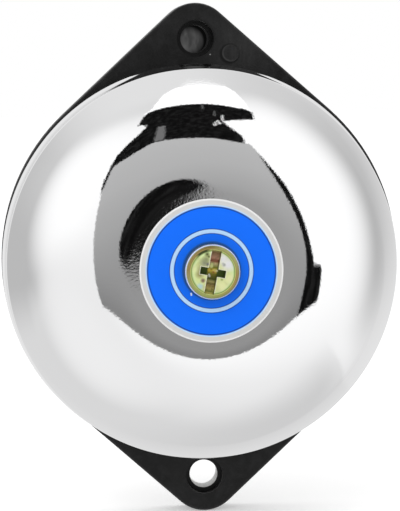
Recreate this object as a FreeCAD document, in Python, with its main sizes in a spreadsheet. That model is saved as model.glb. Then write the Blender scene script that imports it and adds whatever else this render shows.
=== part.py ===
import FreeCAD, Part
import math
import os
import re

import Sketcher

# Electric wall bell with a dome gong over its own mechanism, in millimetres.
#
# Every piece is drawn as the bell lies on a bench, wall side down: x to the right, y towards the
# upper ear, z out of the wall. ON_THE_WALL then stands the finished piece up, so that the part's
# own frame has +Z up, the wall face in the plane y = 0 and the gong towards -Y. The origin is
# the centre of the wall face.
#
# The coil pulls the armature towards -x. Armature, lever, rod and ball turn together about the
# pivot pin, and the ball, on the other side of the pivot, swings outwards to the gong's wall.

SIZES = {
    # moulded base
    "base_radius": 28.0,
    "ear_radius": 5.05,
    "hole_spacing": 62.0,
    "ear_height": 5.5,
    "deck_radius": 27.45,
    "deck_height": 6.6,
    "base_edge_round": 0.35,
    "deck_edge_round": 0.35,
    "mount_hole_diameter": 4.0,
    "counterbore_diameter": 5.2,
    "counterbore_depth": 1.7,
    "mount_boss_radius": 4.2,
    "base_wall": 1.8,
    "recess_depth": 3.5,
    "hub_radius": 11.4,
    "rib_width": 1.2,
    "rib_setback": 0.4,
    "pin_boss_radius": 2.4,
    "pin_socket_depth": 2.6,
    "ejector_mark_radius": 1.15,
    "ejector_mark_depth": 0.06,
    "ejector_mark_right": 4.95,
    "ejector_mark_drop": 2.1,
    # gong
    "gong_radius": 27.63,
    "gong_height": 19.3,
    "gong_sheet": 1.0,
    "gong_flare": 0.58,
    "gong_flare_share": 0.51,
    "gong_knuckle_radius": 16.0,
    "gong_flank_width": 2.15,
    "gong_flank_slope": 62.0,
    "gong_shoulder_radius": 1.5,
    "gong_offset": 0.29,
    "gong_turn": 62.0,
    "rim_gap": 1.6,
    # what holds the gong
    "gong_screw_diameter": 4.0,
    "gong_screw_length": 9.0,
    "gong_head_diameter": 7.3,
    "gong_head_height": 2.4,
    "gong_head_round": 0.7,
    "slot_width": 1.3,
    "slot_span": 5.85,
    "slot_depth": 1.0,
    "slot_angle": 11.6,
    "cross_span": 3.4,
    "cross_width": 1.0,
    "cross_depth": 1.6,
    "label_radius": 9.6,
    "label_thickness": 0.2,
    "washer_radius": 5.0,
    "washer_thickness": 0.5,
    "post_across_flats": 7.0,
    "post_socket_depth": 1.0,
    "post_edge_chamfer": 0.3,
    "post_screw_diameter": 3.0,
    "post_screw_length": 10.0,
    "post_head_diameter": 5.5,
    "post_head_height": 1.6,
    "back_disc_radius": 8.0,
    "back_disc_thickness": 1.0,
    "hole_clearance": 0.15,
    "thread_clearance": 0.05,
    "fit_clearance": 0.05,
    # coil and frame
    "yoke_thickness": 1.5,
    "yoke_height": 11.0,
    "yoke_back": 12.0,
    "yoke_bend_radius": 1.2,
    "yoke_leg_overlap": 4.5,
    "post_gap": 0.5,
    "foot_width": 5.2,
    "foot_length": 6.0,
    "foot_spacing": 15.8,
    "foot_screw_inset": 3.4,
    "foot_screw_diameter": 2.9,
    "foot_screw_length": 5.7,
    "foot_head_radius": 2.4,
    "foot_head_height": 1.7,
    "core_radius": 2.25,
    "core_shank_radius": 1.5,
    "rivet_head_height": 0.6,
    "pole_proud": 1.0,
    "shim_thickness": 0.2,
    "bobbin_wall": 0.8,
    "flange_width": 10.4,
    "flange_thickness": 1.0,
    "flange_corner_radius": 1.2,
    "coil_side_gap": 0.3,
    "coil_base_gap": 1.0,
    "winding_length": 17.8,
    "winding_depth": 1.6,
    "tape_thickness": 0.2,
    # lever and striker
    "air_gap": 0.9,
    "armature_thickness": 1.6,
    "armature_length": 8.6,
    "armature_height": 9.2,
    "armature_overlap": 4.8,
    "armature_corner_radius": 1.0,
    "lever_thickness": 1.0,
    "lever_shoulder": 0.6,
    "lever_rivet_radius": 0.6,
    "lever_rivet_head_radius": 1.1,
    "lever_rivet_spacing": 2.7,
    "lever_rivet_drop": 1.4,
    "pivot_inset": 0.2,
    "pivot_side": 0.6,
    "pivot_pin_radius": 1.0,
    "pivot_clearance": 0.05,
    "barrel_radius": 2.2,
    "barrel_height": 7.6,
    "barrel_gap": 0.1,
    "pivot_boss_radius": 2.2,
    "yoke_end_gap": 0.5,
    "clip_thickness": 0.4,
    "clip_radius": 1.9,
    "groove_depth": 0.2,
    "pin_tip_height": 0.6,
    "stub_radius": 1.5,
    "stub_length": 6.2,
    "rod_radius": 0.65,
    "rod_grip": 3.2,
    "ball_radius": 2.5,
    "ball_angle": 48.0,
    "strike_angle": 5.0,
    "strike_margin": 0.12,
    "spring_arm_radius": 0.6,
    "spring_arm_collar": 0.5,
    "collar_overhang": 0.4,
    # back stop and return spring
    "stop_pin_radius": 0.8,
    "stop_pin_height": 8.8,
    "stop_sleeve_radius": 1.7,
    "stop_sleeve_height": 8.0,
    "stop_sleeve_lift": 0.2,
    "stop_gap": 0.05,
    "stop_drop": 2.2,
    "spring_wire_radius": 0.2,
    "spring_bead_radius": 0.23,
    "spring_coil_radius": 1.1,
    "spring_turns": 10.0,
    "spring_span": 9.5,
    "spring_lead_in": 0.3,
    "spring_offset": 4.3,
    "spring_post_radius": 0.9,
    "spring_side_gap": 0.2,
    "spring_loop_gap": 0.1,
    # terminals and inlet
    "terminal_pitch": 6.2,
    "terminal_left": 8.5,
    "terminal_drop": 10.5,
    "terminal_block_depth": 6.0,
    "terminal_floor": 3.0,
    "terminal_wall": 1.0,
    "terminal_wall_height": 2.4,
    "spigot_radius": 1.0,
    "spigot_head_radius": 1.4,
    "spigot_head_height": 0.6,
    "plate_thickness": 0.8,
    "plate_side_gap": 0.3,
    "plate_tail": 1.9,
    "clamp_thickness": 0.6,
    "clamp_width": 4.2,
    "terminal_screw_diameter": 2.5,
    "terminal_screw_length": 3.8,
    "terminal_head_radius": 2.1,
    "terminal_head_height": 1.4,
    "screwdriver_slot_width": 0.6,
    "screwdriver_slot_depth": 0.7,
    "inlet_drop": 15.8,
    "inlet_hole_radius": 3.4,
    "inlet_bore_radius": 2.2,
    "grommet_lip": 0.8,
    "grommet_lip_thickness": 1.1,
    "lead_radius": 0.4,
    "lead_bend_share": 0.45,
    "lead_rise": 2.6,
    "lead_pitch": 1.2,
    "lead_turn_back": 3.0,
    "lead_tail_grip": 1.0,
}

# Sizes that follow from the driving ones, in the words of the sheet.
WORKED_OUT = {
    "ear_centre": "hole_spacing / 2",
    "rim_height": "deck_height + rim_gap",
    "gong_top": "rim_height + gong_height",
    "under_crown": "gong_top - gong_sheet",
    "gong_waist_radius": "gong_radius - gong_flare",
    "shoulder_place": "gong_waist_radius - gong_shoulder_radius",
    "round_step": "gong_knuckle_radius - gong_shoulder_radius",
    "gong_seat_radius": "shoulder_place - gong_flank_width - round_step * sin(gong_flank_slope)",
    "knuckle_height": "gong_top - gong_knuckle_radius",
    "flank_drop": "gong_flank_width * tan(gong_flank_slope)",
    "shoulder_height": "knuckle_height + round_step * cos(gong_flank_slope) - flank_drop",
    "lip_height": "rim_height + gong_sheet / 2",
    "flare_drop": "(shoulder_height - lip_height) * gong_flare_share",
    "flare_height": "lip_height + flare_drop",
    "flare_radius": "(flare_drop ^ 2 + gong_flare ^ 2) / (2 * gong_flare) - gong_sheet / 2",
    "label_top": "gong_top + label_thickness",
    "gong_screw_radius": "gong_screw_diameter / 2",
    "gong_screw_end": "label_top - gong_screw_length",
    "post_foot": "deck_height - post_socket_depth",
    "post_top": "under_crown - washer_thickness",
    "post_circumradius": "post_across_flats / sqrt(3)",
    "post_screw_radius": "post_screw_diameter / 2",
    "post_screw_face": "back_disc_thickness + thread_clearance",
    "yoke_side": "post_across_flats / 2 + post_gap",
    "coil_side": "yoke_side + yoke_thickness + coil_side_gap + flange_width / 2",
    "coil_height": "deck_height + coil_base_gap + flange_width / 2",
    "bobbin_start": "yoke_thickness + fit_clearance - yoke_back",
    "bobbin_length": "winding_length + 2 * flange_thickness",
    "bobbin_end": "bobbin_start + bobbin_length",
    "tube_radius": "core_radius + fit_clearance + bobbin_wall",
    "winding_radius": "tube_radius + winding_depth",
    "tape_radius": "winding_radius + tape_thickness",
    "pole_face": "bobbin_end + pole_proud",
    "armature_face": "pole_face + shim_thickness + air_gap",
    "armature_back": "armature_face + armature_thickness",
    "armature_start": "coil_side + armature_overlap - armature_length",
    "armature_end": "coil_side + armature_overlap",
    "lever_back": "armature_back + lever_thickness",
    "pivot_right": "armature_back + pivot_inset",
    "pivot_up": "yoke_side + pivot_side",
    "barrel_foot": "coil_height - barrel_height / 2",
    "pivot_boss_height": "barrel_foot - barrel_gap - deck_height",
    "barrel_top": "barrel_foot + barrel_height",
    "clip_foot": "barrel_top + barrel_gap",
    "yoke_end": "pivot_right - barrel_radius - yoke_end_gap",
    "pin_foot": "deck_height - pin_socket_depth",
    "foot_screw_side": "yoke_side - foot_screw_inset",
    "foot_screw_seat": "deck_height + yoke_thickness",
    "stop_right": "lever_back + stop_gap + stop_sleeve_radius",
    "stop_up": "armature_end - stop_drop",
    "spring_right": "pivot_right + spring_offset",
    "spring_post_up": "pivot_up - spring_span",
    "spring_half_width": "spring_coil_radius + spring_wire_radius + spring_side_gap + spring_arm_collar",
    "spring_arm_length": "spring_offset + spring_half_width",
    "ball_swing": "(pivot_up * cos(ball_angle) + pivot_right * sin(ball_angle)) * strike_angle * pi / 180",
    "gong_inside": "gong_waist_radius - gong_sheet + gong_offset * sin(ball_angle - gong_turn)",
    "ball_reach": "gong_inside - ball_radius - strike_margin - ball_swing",
    "terminal_plate_foot": "deck_height + terminal_floor",
    "terminal_plate_top": "terminal_plate_foot + plate_thickness",
    "terminal_clamp_top": "terminal_plate_top + clamp_thickness",
    "terminal_near_edge": "terminal_block_depth / 2 - terminal_drop",
    "terminal_far_edge": "-terminal_block_depth / 2 - terminal_drop",
    "recess_floor": "recess_depth",
}

ON_THE_WALL = FreeCAD.Placement(FreeCAD.Vector(), FreeCAD.Rotation(FreeCAD.Vector(1, 0, 0), 90))
DIRECTIONS = {
    "up": FreeCAD.Rotation(),
    "right": FreeCAD.Rotation(FreeCAD.Vector(0, 1, 0), 90),
}
SAME = 1e-4

doc = FreeCAD.newDocument("ElectricBell")
sheet = doc.addObject("Spreadsheet::Sheet", "Sizes")
for row, (alias, number) in enumerate(SIZES.items(), start=1):
    sheet.set(f"A{row}", alias)
    sheet.set(f"B{row}", str(number))
    sheet.setAlias(f"B{row}", alias)
doc.recompute()

gauge = doc.addObject("App::FeaturePython", "Gauge")
gauge.addProperty("App::PropertyFloat", "Reading")


def formula(text):
    """The same formula with its size names pointing at the sheet."""

    def swap(match):
        word = match.group(0)
        if word in WORKED_OUT:
            return "(" + formula(WORKED_OUT[word]) + ")"
        return "Sizes." + word if word in SIZES else word

    return re.sub(r"[a-z_]+", swap, text)


def reading(text):
    """The value of a formula, read on the gauge."""
    gauge.setExpression("Reading", formula(text))
    gauge.recompute()
    return gauge.Reading


def bind(feature, **formulas):
    for name, text in formulas.items():
        feature.setExpression(name, formula(text))


def new_body(label, at=FreeCAD.Placement()):
    body = doc.addObject("PartDesign::Body", label)
    body.Label = label
    body.Placement = ON_THE_WALL.multiply(at)
    return body


def primitive(body, kind, name, at, turn, formulas):
    feature = body.newObject("PartDesign::" + kind, name)
    feature.Placement = FreeCAD.Placement(FreeCAD.Vector(), turn)
    for axis, text in zip("xyz", at):
        feature.setExpression("Placement.Base." + axis, formula(text))
    bind(feature, **formulas)
    return feature


def cylinder(body, name, at, radius, height, direction="up", cut=False):
    """A round bar that starts at a point and runs up or to the right."""
    kind = "SubtractiveCylinder" if cut else "AdditiveCylinder"
    return primitive(body, kind, name, at, DIRECTIONS[direction], {"Radius": radius, "Height": height})


def cone(body, name, at, radii, height, cut=False):
    kind = "SubtractiveCone" if cut else "AdditiveCone"
    sizes = {"Radius1": radii[0], "Radius2": radii[1], "Height": height}
    return primitive(body, kind, name, at, FreeCAD.Rotation(), sizes)


def hexagon(body, name, foot, circumradius, height, cut=False):
    """A hexagonal bar on the centre line, with flats facing up and down."""
    kind = "SubtractivePrism" if cut else "AdditivePrism"
    sizes = {"Circumradius": circumradius, "Height": height}
    feature = primitive(body, kind, name, ("0", "0", foot), FreeCAD.Rotation(), sizes)
    feature.Polygon = 6
    return feature


def block(body, name, start, size, cut=False):
    """A box from its lowest corner."""
    kind = "SubtractiveBox" if cut else "AdditiveBox"
    sizes = dict(zip(("Length", "Width", "Height"), size))
    return primitive(body, kind, name, start, FreeCAD.Rotation(), sizes)


def tidy_edges(body, name, kind, size, chosen):
    """Rounds or chamfers the edges that the test chooses."""
    doc.recompute()
    base = body.Tip
    names = [f"Edge{i}" for i, edge in enumerate(base.Shape.Edges, start=1) if chosen(edge)]
    feature = body.newObject("PartDesign::" + kind, name)
    feature.Base = (base, names)
    bind(feature, **{"Radius" if kind == "Fillet" else "Size": size})
    return feature


def edge_at_height(height):
    """A test for edges that lie in one level plane."""
    level = reading(height)
    return lambda edge: max(abs(edge.BoundBox.ZMin - level), abs(edge.BoundBox.ZMax - level)) < SAME


def edge_along(axis, **places):
    """A test for straight edges along one axis, at given places on the other axes."""
    wanted = {name.upper(): reading(text) for name, text in places.items()}
    lengths = {"X": "XLength", "Y": "YLength", "Z": "ZLength"}

    def chosen(edge):
        box = edge.BoundBox
        straight = abs(getattr(box, lengths[axis]) - edge.Length) < SAME
        return straight and all(
            abs(getattr(box, name + "Min") - place) < SAME and abs(getattr(box, name + "Max") - place) < SAME
            for name, place in wanted.items()
        )

    return chosen


def datum(body, role):
    return next(item for item in body.Origin.OriginFeatures if item.Role == role)


def new_sketch(body, name, role):
    sketch = body.newObject("Sketcher::SketchObject", name)
    sketch.AttachmentSupport = [(datum(body, role), "")]
    sketch.MapMode = "FlatFace"
    return sketch


def constrain(sketch, kind, *where, size=None):
    """Adds a constraint, and binds its value to the sheet where it has one."""
    if size is None:
        sketch.addConstraint(Sketcher.Constraint(kind, *where))
        return
    index = sketch.addConstraint(Sketcher.Constraint(kind, *where, reading(size)))
    sketch.setExpression(f"Constraints[{index}]", formula(size))


def join_ends(sketch, *chain):
    """Makes each curve run smoothly into the next: (curve, end) to (curve, start)."""
    for (first, first_end), (second, second_end) in chain:
        constrain(sketch, "Tangent", first, first_end, second, second_end)


def polar(centre, radius, degrees):
    angle = math.radians(degrees)
    return centre + FreeCAD.Vector(radius * math.cos(angle), radius * math.sin(angle), 0)


def arc(centre, radius, start, end):
    circle = Part.Circle(centre, FreeCAD.Vector(0, 0, 1), radius)
    return Part.ArcOfCircle(circle, math.radians(start), math.radians(end))


def ear_outline(body, name, inset):
    """The base's outline: a large circle, an ear circle above and below, and their tangents."""
    large = reading(f"base_radius - {inset}")
    small = reading(f"ear_radius - {inset}")
    reach = reading("ear_centre")
    lean = math.degrees(math.asin((large - small) / reach))
    middle = FreeCAD.Vector()
    upper = FreeCAD.Vector(0, reach, 0)
    lower = FreeCAD.Vector(0, -reach, 0)
    sketch = new_sketch(body, name, "XY_Plane")
    right = sketch.addGeometry(arc(middle, large, -lean, lean))
    top = sketch.addGeometry(arc(upper, small, lean, 180 - lean))
    left = sketch.addGeometry(arc(middle, large, 180 - lean, 180 + lean))
    bottom = sketch.addGeometry(arc(lower, small, 180 + lean, 360 - lean))
    corners = [
        (right, top, polar(middle, large, lean), polar(upper, small, lean)),
        (top, left, polar(upper, small, 180 - lean), polar(middle, large, 180 - lean)),
        (left, bottom, polar(middle, large, 180 + lean), polar(lower, small, 180 + lean)),
        (bottom, right, polar(lower, small, -lean), polar(middle, large, -lean)),
    ]
    for before, after, start, end in corners:
        side = sketch.addGeometry(Part.LineSegment(start, end))
        join_ends(sketch, ((before, 2), (side, 1)), ((side, 2), (after, 1)))
    for centre in (right, left):
        constrain(sketch, "Coincident", centre, 3, -1, 1)
    for centre in (top, bottom):
        constrain(sketch, "PointOnObject", centre, 3, -2)
    constrain(sketch, "DistanceY", -1, 1, top, 3, size="ear_centre")
    constrain(sketch, "DistanceY", bottom, 3, -1, 1, size="ear_centre")
    constrain(sketch, "Radius", right, size=f"base_radius - {inset}")
    constrain(sketch, "Radius", top, size=f"ear_radius - {inset}")
    constrain(sketch, "Equal", right, left)
    constrain(sketch, "Equal", top, bottom)
    return sketch


def screw_recess(body, name, top, half_width, span, depth, along):
    """One straight slot in a screw's head, centred on its axis."""
    x = (f"-({span}) / 2", f"-({half_width})")
    size = (span, f"2 * ({half_width})")
    if along == "y":
        x, size = x[::-1], size[::-1]
    block(body, name, (*x, f"{top} - ({depth})"), (*size, depth), cut=True)


# ---------------------------------------------------------------- base and wall side


def make_base():
    """The moulded base, open at the back, with its ears, deck, bosses and ribs."""
    body = new_body("base_plate")
    slab = body.newObject("PartDesign::Pad", "base_slab")
    slab.Profile = ear_outline(body, "base_outline", "0")
    bind(slab, Length="ear_height")
    tidy_edges(body, "base_edge", "Fillet", "base_edge_round", edge_at_height("ear_height"))
    cylinder(body, "deck", ("0", "0", "0"), "deck_radius", "deck_height")
    tidy_edges(body, "deck_edge", "Fillet", "deck_edge_round", edge_at_height("deck_height"))
    recess = body.newObject("PartDesign::Pocket", "back_recess")
    recess.Profile = ear_outline(body, "recess_outline", "base_wall")
    recess.Reversed = True
    bind(recess, Length="recess_depth")
    rib = block(
        body,
        "rib",
        ("0", "-rib_width / 2", "rib_setback"),
        ("base_radius - base_wall / 2", "rib_width", "recess_floor - rib_setback"),
    )
    doc.recompute()
    ribs = body.newObject("PartDesign::PolarPattern", "ribs")
    ribs.Originals = [rib]
    ribs.Axis = (datum(body, "Z_Axis"), [""])
    ribs.Angle = 360
    ribs.Occurrences = 6
    body.Tip = ribs
    doc.recompute()
    cylinder(body, "hub", ("0", "0", "0"), "hub_radius", "recess_floor")
    add_ears(body)
    add_centre_fixing(body)
    add_mechanism_seats(body)
    return body


def add_ears(body):
    """A boss, a through hole and a counterbore in each ear, and the ejector's mark."""
    for side, sign in (("upper", ""), ("lower", "-")):
        centre = f"{sign}ear_centre"
        cylinder(body, f"{side}_boss", ("0", centre, "0"), "mount_boss_radius", "recess_floor")
        cylinder(
            body, f"{side}_hole", ("0", centre, "0"), "mount_hole_diameter / 2", "ear_height", cut=True
        )
        cylinder(
            body,
            f"{side}_counterbore",
            ("0", centre, "ear_height - counterbore_depth"),
            "counterbore_diameter / 2",
            "counterbore_depth",
            cut=True,
        )
    cylinder(
        body,
        "ejector_mark",
        ("ejector_mark_right", "ear_centre - ejector_mark_drop", "ear_height - ejector_mark_depth"),
        "ejector_mark_radius",
        "ejector_mark_depth",
        cut=True,
    )


def add_centre_fixing(body):
    """The pillar's hexagonal seat, its screw hole and countersink, and the disc's recess."""
    seat = "post_circumradius + fit_clearance"
    hexagon(body, "post_seat", "post_foot", seat, "post_socket_depth", cut=True)
    clear = "post_screw_radius + hole_clearance"
    cylinder(body, "post_screw_hole", ("0", "0", "0"), clear, "deck_height", cut=True)
    cone(
        body,
        "countersink",
        ("0", "0", "post_screw_face"),
        ("post_head_diameter / 2 + thread_clearance", "post_screw_radius + thread_clearance"),
        "post_head_height",
        cut=True,
    )
    disc = "back_disc_radius + fit_clearance"
    cylinder(body, "disc_recess", ("0", "0", "0"), disc, "back_disc_thickness", cut=True)
    face = "post_head_diameter / 2 + thread_clearance"
    cylinder(body, "head_recess", ("0", "0", "0"), face, "post_screw_face", cut=True)


def add_mechanism_seats(body):
    """Bosses and holes for the pins, the yoke's screws, the terminals and the inlet."""
    pins = {
        "pivot": ("pivot_right", "pivot_up", "pivot_pin_radius"),
        "stop": ("stop_right", "stop_up", "stop_pin_radius"),
        "spring": ("spring_right", "spring_post_up", "spring_post_radius"),
    }
    cylinder(
        body,
        "pivot_boss",
        ("pivot_right", "pivot_up", "deck_height"),
        "pivot_boss_radius",
        "pivot_boss_height",
    )
    for name, (x, y, radius) in pins.items():
        foot = (x, y, "rib_setback")
        cylinder(body, f"{name}_back_boss", foot, "pin_boss_radius", "recess_floor - rib_setback")
    for name, (x, y, radius) in pins.items():
        depth = "pin_socket_depth + pivot_boss_height" if name == "pivot" else "pin_socket_depth"
        cylinder(body, f"{name}_socket", (x, y, "pin_foot"), radius, depth, cut=True)
    for name, sign in (("left", "-"), ("right", "")):
        cylinder(
            body,
            f"{name}_foot_hole",
            (f"{sign}foot_spacing / 2", "foot_screw_side", "foot_screw_seat - foot_screw_length"),
            "foot_screw_diameter / 2 + thread_clearance",
            "foot_screw_length - yoke_thickness",
            cut=True,
        )
    for name, steps in (("inner", 0), ("outer", 1)):
        cylinder(
            body,
            f"{name}_spigot_hole",
            (terminal_place(steps), "-terminal_drop", "0"),
            "spigot_radius",
            "deck_height",
            cut=True,
        )
    inlet = ("0", "-inlet_drop", "0")
    cylinder(body, "inlet_hole", inlet, "inlet_hole_radius", "deck_height", cut=True)


def make_back_disc():
    """Insulating disc that lies flush with the wall face, over the pillar's screw."""
    body = new_body("back_disc")
    cylinder(body, "disc", ("0", "0", "0"), "back_disc_radius", "back_disc_thickness")
    return body


def make_post_screw():
    """Countersunk screw from the back into the pillar, with a cross recess."""
    body = new_body("post_screw")
    cone(
        body,
        "post_screw_head",
        ("0", "0", "post_screw_face"),
        ("post_head_diameter / 2", "post_screw_radius"),
        "post_head_height",
    )
    shank = "post_screw_length - post_head_height"
    cylinder(
        body,
        "post_screw_shank",
        ("0", "0", "post_screw_face + post_head_height"),
        "post_screw_radius",
        shank,
    )
    for axis in "xy":
        name = "post_screw_cross_" + axis
        top = "post_screw_face + screwdriver_slot_depth"
        screw_recess(body, name, top, "cross_width / 2", "cross_span", "screwdriver_slot_depth", axis)
    return body


# ---------------------------------------------------------------- gong and what carries it


def make_post():
    """Hexagonal pillar, threaded at both ends."""
    body = new_body("gong_post")
    hexagon(body, "post_bar", "post_foot", "post_circumradius", "post_top - post_foot")
    tidy_edges(body, "post_chamfer", "Chamfer", "post_edge_chamfer", edge_at_height("post_top"))
    upper = "gong_screw_radius + thread_clearance"
    upper_depth = "post_top - gong_screw_end + thread_clearance"
    cylinder(
        body, "upper_thread", ("0", "0", "gong_screw_end - thread_clearance"), upper, upper_depth, cut=True
    )
    lower = "post_screw_radius + thread_clearance"
    lower_depth = "post_screw_face + post_screw_length + thread_clearance - post_foot"
    cylinder(body, "lower_thread", ("0", "0", "post_foot"), lower, lower_depth, cut=True)
    return body


def make_seat_washer():
    """Fibre washer between the pillar and the gong's crown."""
    body = new_body("gong_seat_washer")
    foot = ("0", "0", "post_top")
    cylinder(body, "washer_disc", foot, "washer_radius", "washer_thickness")
    hole = "gong_screw_radius + hole_clearance"
    cylinder(body, "washer_hole", foot, hole, "washer_thickness", cut=True)
    return body


def gong_profile(body):
    """Half section of the gong: crown, knuckle, sloping flank, shoulder, skirt, flare and lip."""
    knuckle = reading("gong_knuckle_radius")
    shoulder = reading("gong_shoulder_radius")
    thickness = reading("gong_sheet")
    crown = reading("gong_top")
    seat = reading("gong_seat_radius")
    waist = reading("gong_waist_radius")
    flare = reading("flare_radius")
    slope = 90 - reading("gong_flank_slope")
    knuckle_centre = FreeCAD.Vector(seat, reading("knuckle_height"), 0)
    shoulder_centre = FreeCAD.Vector(waist - shoulder, reading("shoulder_height"), 0)
    flare_centre = FreeCAD.Vector(waist + flare, reading("flare_height"), 0)
    turn = math.degrees(math.asin(reading("flare_drop") / (flare + thickness / 2)))
    lip_centre = polar(flare_centre, flare + thickness / 2, 180 + turn)
    sketch = new_sketch(body, "gong_section", "XZ_Plane")
    bind(sketch, **{".AttachmentOffset.Base.z": "gong_offset"})

    def line(start, end):
        return sketch.addGeometry(Part.LineSegment(start, end))

    def bend(centre, radius, start, end):
        return sketch.addGeometry(arc(centre, radius, start, end))

    outer_crown = line(FreeCAD.Vector(0, crown, 0), FreeCAD.Vector(seat, crown, 0))
    outer_knuckle = bend(knuckle_centre, knuckle, slope, 90)
    outer_flank = line(polar(knuckle_centre, knuckle, slope), polar(shoulder_centre, shoulder, slope))
    outer_shoulder = bend(shoulder_centre, shoulder, 0, slope)
    outer_skirt = line(polar(shoulder_centre, shoulder, 0), polar(flare_centre, flare, 180))
    outer_flare = bend(flare_centre, flare, 180, 180 + turn)
    lip = bend(lip_centre, thickness / 2, 180 + turn, 360 + turn)
    flare, shoulder, knuckle = flare + thickness, shoulder - thickness, knuckle - thickness
    inner_flare = bend(flare_centre, flare, 180, 180 + turn)
    inner_skirt = line(polar(flare_centre, flare, 180), polar(shoulder_centre, shoulder, 0))
    inner_shoulder = bend(shoulder_centre, shoulder, 0, slope)
    inner_flank = line(polar(shoulder_centre, shoulder, slope), polar(knuckle_centre, knuckle, slope))
    inner_knuckle = bend(knuckle_centre, knuckle, slope, 90)
    below = crown - thickness
    inner_crown = line(FreeCAD.Vector(seat, below, 0), FreeCAD.Vector(0, below, 0))
    axis = line(FreeCAD.Vector(0, below, 0), FreeCAD.Vector(0, crown, 0))
    join_ends(
        sketch,
        ((outer_crown, 2), (outer_knuckle, 2)),
        ((outer_knuckle, 1), (outer_flank, 1)),
        ((outer_flank, 2), (outer_shoulder, 2)),
        ((outer_shoulder, 1), (outer_skirt, 1)),
        ((outer_skirt, 2), (outer_flare, 1)),
        ((outer_flare, 2), (lip, 2)),
        ((lip, 1), (inner_flare, 2)),
        ((inner_flare, 1), (inner_skirt, 1)),
        ((inner_skirt, 2), (inner_shoulder, 1)),
        ((inner_shoulder, 2), (inner_flank, 1)),
        ((inner_flank, 2), (inner_knuckle, 1)),
        ((inner_knuckle, 2), (inner_crown, 1)),
    )
    constrain(sketch, "Coincident", inner_crown, 2, axis, 1)
    constrain(sketch, "Coincident", axis, 2, outer_crown, 1)
    constrain(sketch, "Horizontal", outer_crown)
    constrain(sketch, "Horizontal", inner_crown)
    constrain(sketch, "Vertical", outer_skirt)
    constrain(sketch, "Vertical", inner_skirt)
    constrain(sketch, "PointOnObject", axis, 1, -2)
    constrain(sketch, "PointOnObject", axis, 2, -2)
    for outer, inner, radius in (
        (outer_knuckle, inner_knuckle, "gong_knuckle_radius"),
        (outer_shoulder, inner_shoulder, "gong_shoulder_radius"),
    ):
        constrain(sketch, "Coincident", outer, 3, inner, 3)
        constrain(sketch, "Radius", outer, size=radius)
        constrain(sketch, "Radius", inner, size=f"{radius} - gong_sheet")
    constrain(sketch, "Coincident", outer_flare, 3, inner_flare, 3)
    for curve, right, up in (
        (outer_knuckle, "gong_seat_radius", "knuckle_height"),
        (outer_shoulder, "shoulder_place", "shoulder_height"),
        (lip, "gong_radius - gong_sheet / 2", "lip_height"),
    ):
        constrain(sketch, "DistanceX", -1, 1, curve, 3, size=right)
        constrain(sketch, "DistanceY", -1, 1, curve, 3, size=up)
    constrain(sketch, "DistanceY", -1, 1, outer_flare, 3, size="flare_height")
    return sketch


def make_gong():
    """Pressed dome. Its hole is off centre, so that turning it sets the striking gap."""
    turned = FreeCAD.Rotation(FreeCAD.Vector(0, 0, 1), -reading("gong_turn"))
    body = new_body("gong", FreeCAD.Placement(FreeCAD.Vector(), turned))
    shell = body.newObject("PartDesign::Revolution", "gong_shell")
    section = gong_profile(body)
    shell.Profile = section
    shell.ReferenceAxis = (section, ["V_Axis"])
    shell.Angle = 360
    doc.recompute()
    hole = "gong_screw_radius + hole_clearance"
    cylinder(body, "gong_hole", ("0", "0", "under_crown"), hole, "gong_sheet", cut=True)
    return body


def make_label():
    """Thin printed disc on the crown, with the screw's hole."""
    body = new_body("gong_label")
    foot = ("0", "0", "gong_top")
    cylinder(body, "label_disc", foot, "label_radius", "label_thickness")
    hole = "gong_screw_radius + hole_clearance"
    cylinder(body, "label_hole", foot, hole, "label_thickness", cut=True)
    return body


def make_gong_screw():
    """Pan-head screw with a slot across its crown and a cross recess in the middle."""
    turned = FreeCAD.Rotation(FreeCAD.Vector(0, 0, 1), -reading("slot_angle"))
    body = new_body("gong_screw", FreeCAD.Placement(FreeCAD.Vector(), turned))
    cylinder(body, "gong_head", ("0", "0", "label_top"), "gong_head_diameter / 2", "gong_head_height")
    crown = "label_top + gong_head_height"
    tidy_edges(body, "gong_head_edge", "Fillet", "gong_head_round", edge_at_height(crown))
    cylinder(body, "gong_shank", ("0", "0", "gong_screw_end"), "gong_screw_radius", "gong_screw_length")
    screw_recess(body, "gong_slot", crown, "slot_width / 2", "slot_span", "slot_depth", "y")
    screw_recess(body, "gong_cross_deep", crown, "slot_width / 2", "cross_span", "cross_depth", "y")
    screw_recess(body, "gong_cross_arms", crown, "cross_width / 2", "cross_span", "cross_depth", "x")
    return body


# ---------------------------------------------------------------- coil and frame


def make_yoke():
    """L-shaped steel frame on edge: a leg behind the coil, one beside it, and two feet."""
    body = new_body("yoke")
    block(
        body,
        "side_leg",
        ("-yoke_back", "yoke_side", "deck_height"),
        ("yoke_back + yoke_end", "yoke_thickness", "yoke_height"),
    )
    block(
        body,
        "back_leg",
        ("-yoke_back", "yoke_side", "deck_height"),
        ("yoke_thickness", "coil_side + yoke_leg_overlap - yoke_side", "yoke_height"),
    )
    corner = edge_along("Z", x="-yoke_back", y="yoke_side")
    tidy_edges(body, "yoke_bend", "Fillet", "yoke_bend_radius", corner)
    for name, sign in (("left", "-"), ("right", "")):
        centre = f"{sign}foot_spacing / 2"
        block(
            body,
            f"{name}_foot",
            (f"{centre} - foot_width / 2", "yoke_side - foot_length", "deck_height"),
            ("foot_width", "foot_length + yoke_thickness", "yoke_thickness"),
        )
        cylinder(
            body,
            f"{name}_foot_clearance",
            (centre, "foot_screw_side", "deck_height"),
            "foot_screw_diameter / 2 + hole_clearance",
            "yoke_thickness",
            cut=True,
        )
    cylinder(
        body,
        "core_hole",
        ("-yoke_back", "coil_side", "coil_height"),
        "core_shank_radius",
        "yoke_thickness",
        "right",
        cut=True,
    )
    return body


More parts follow.
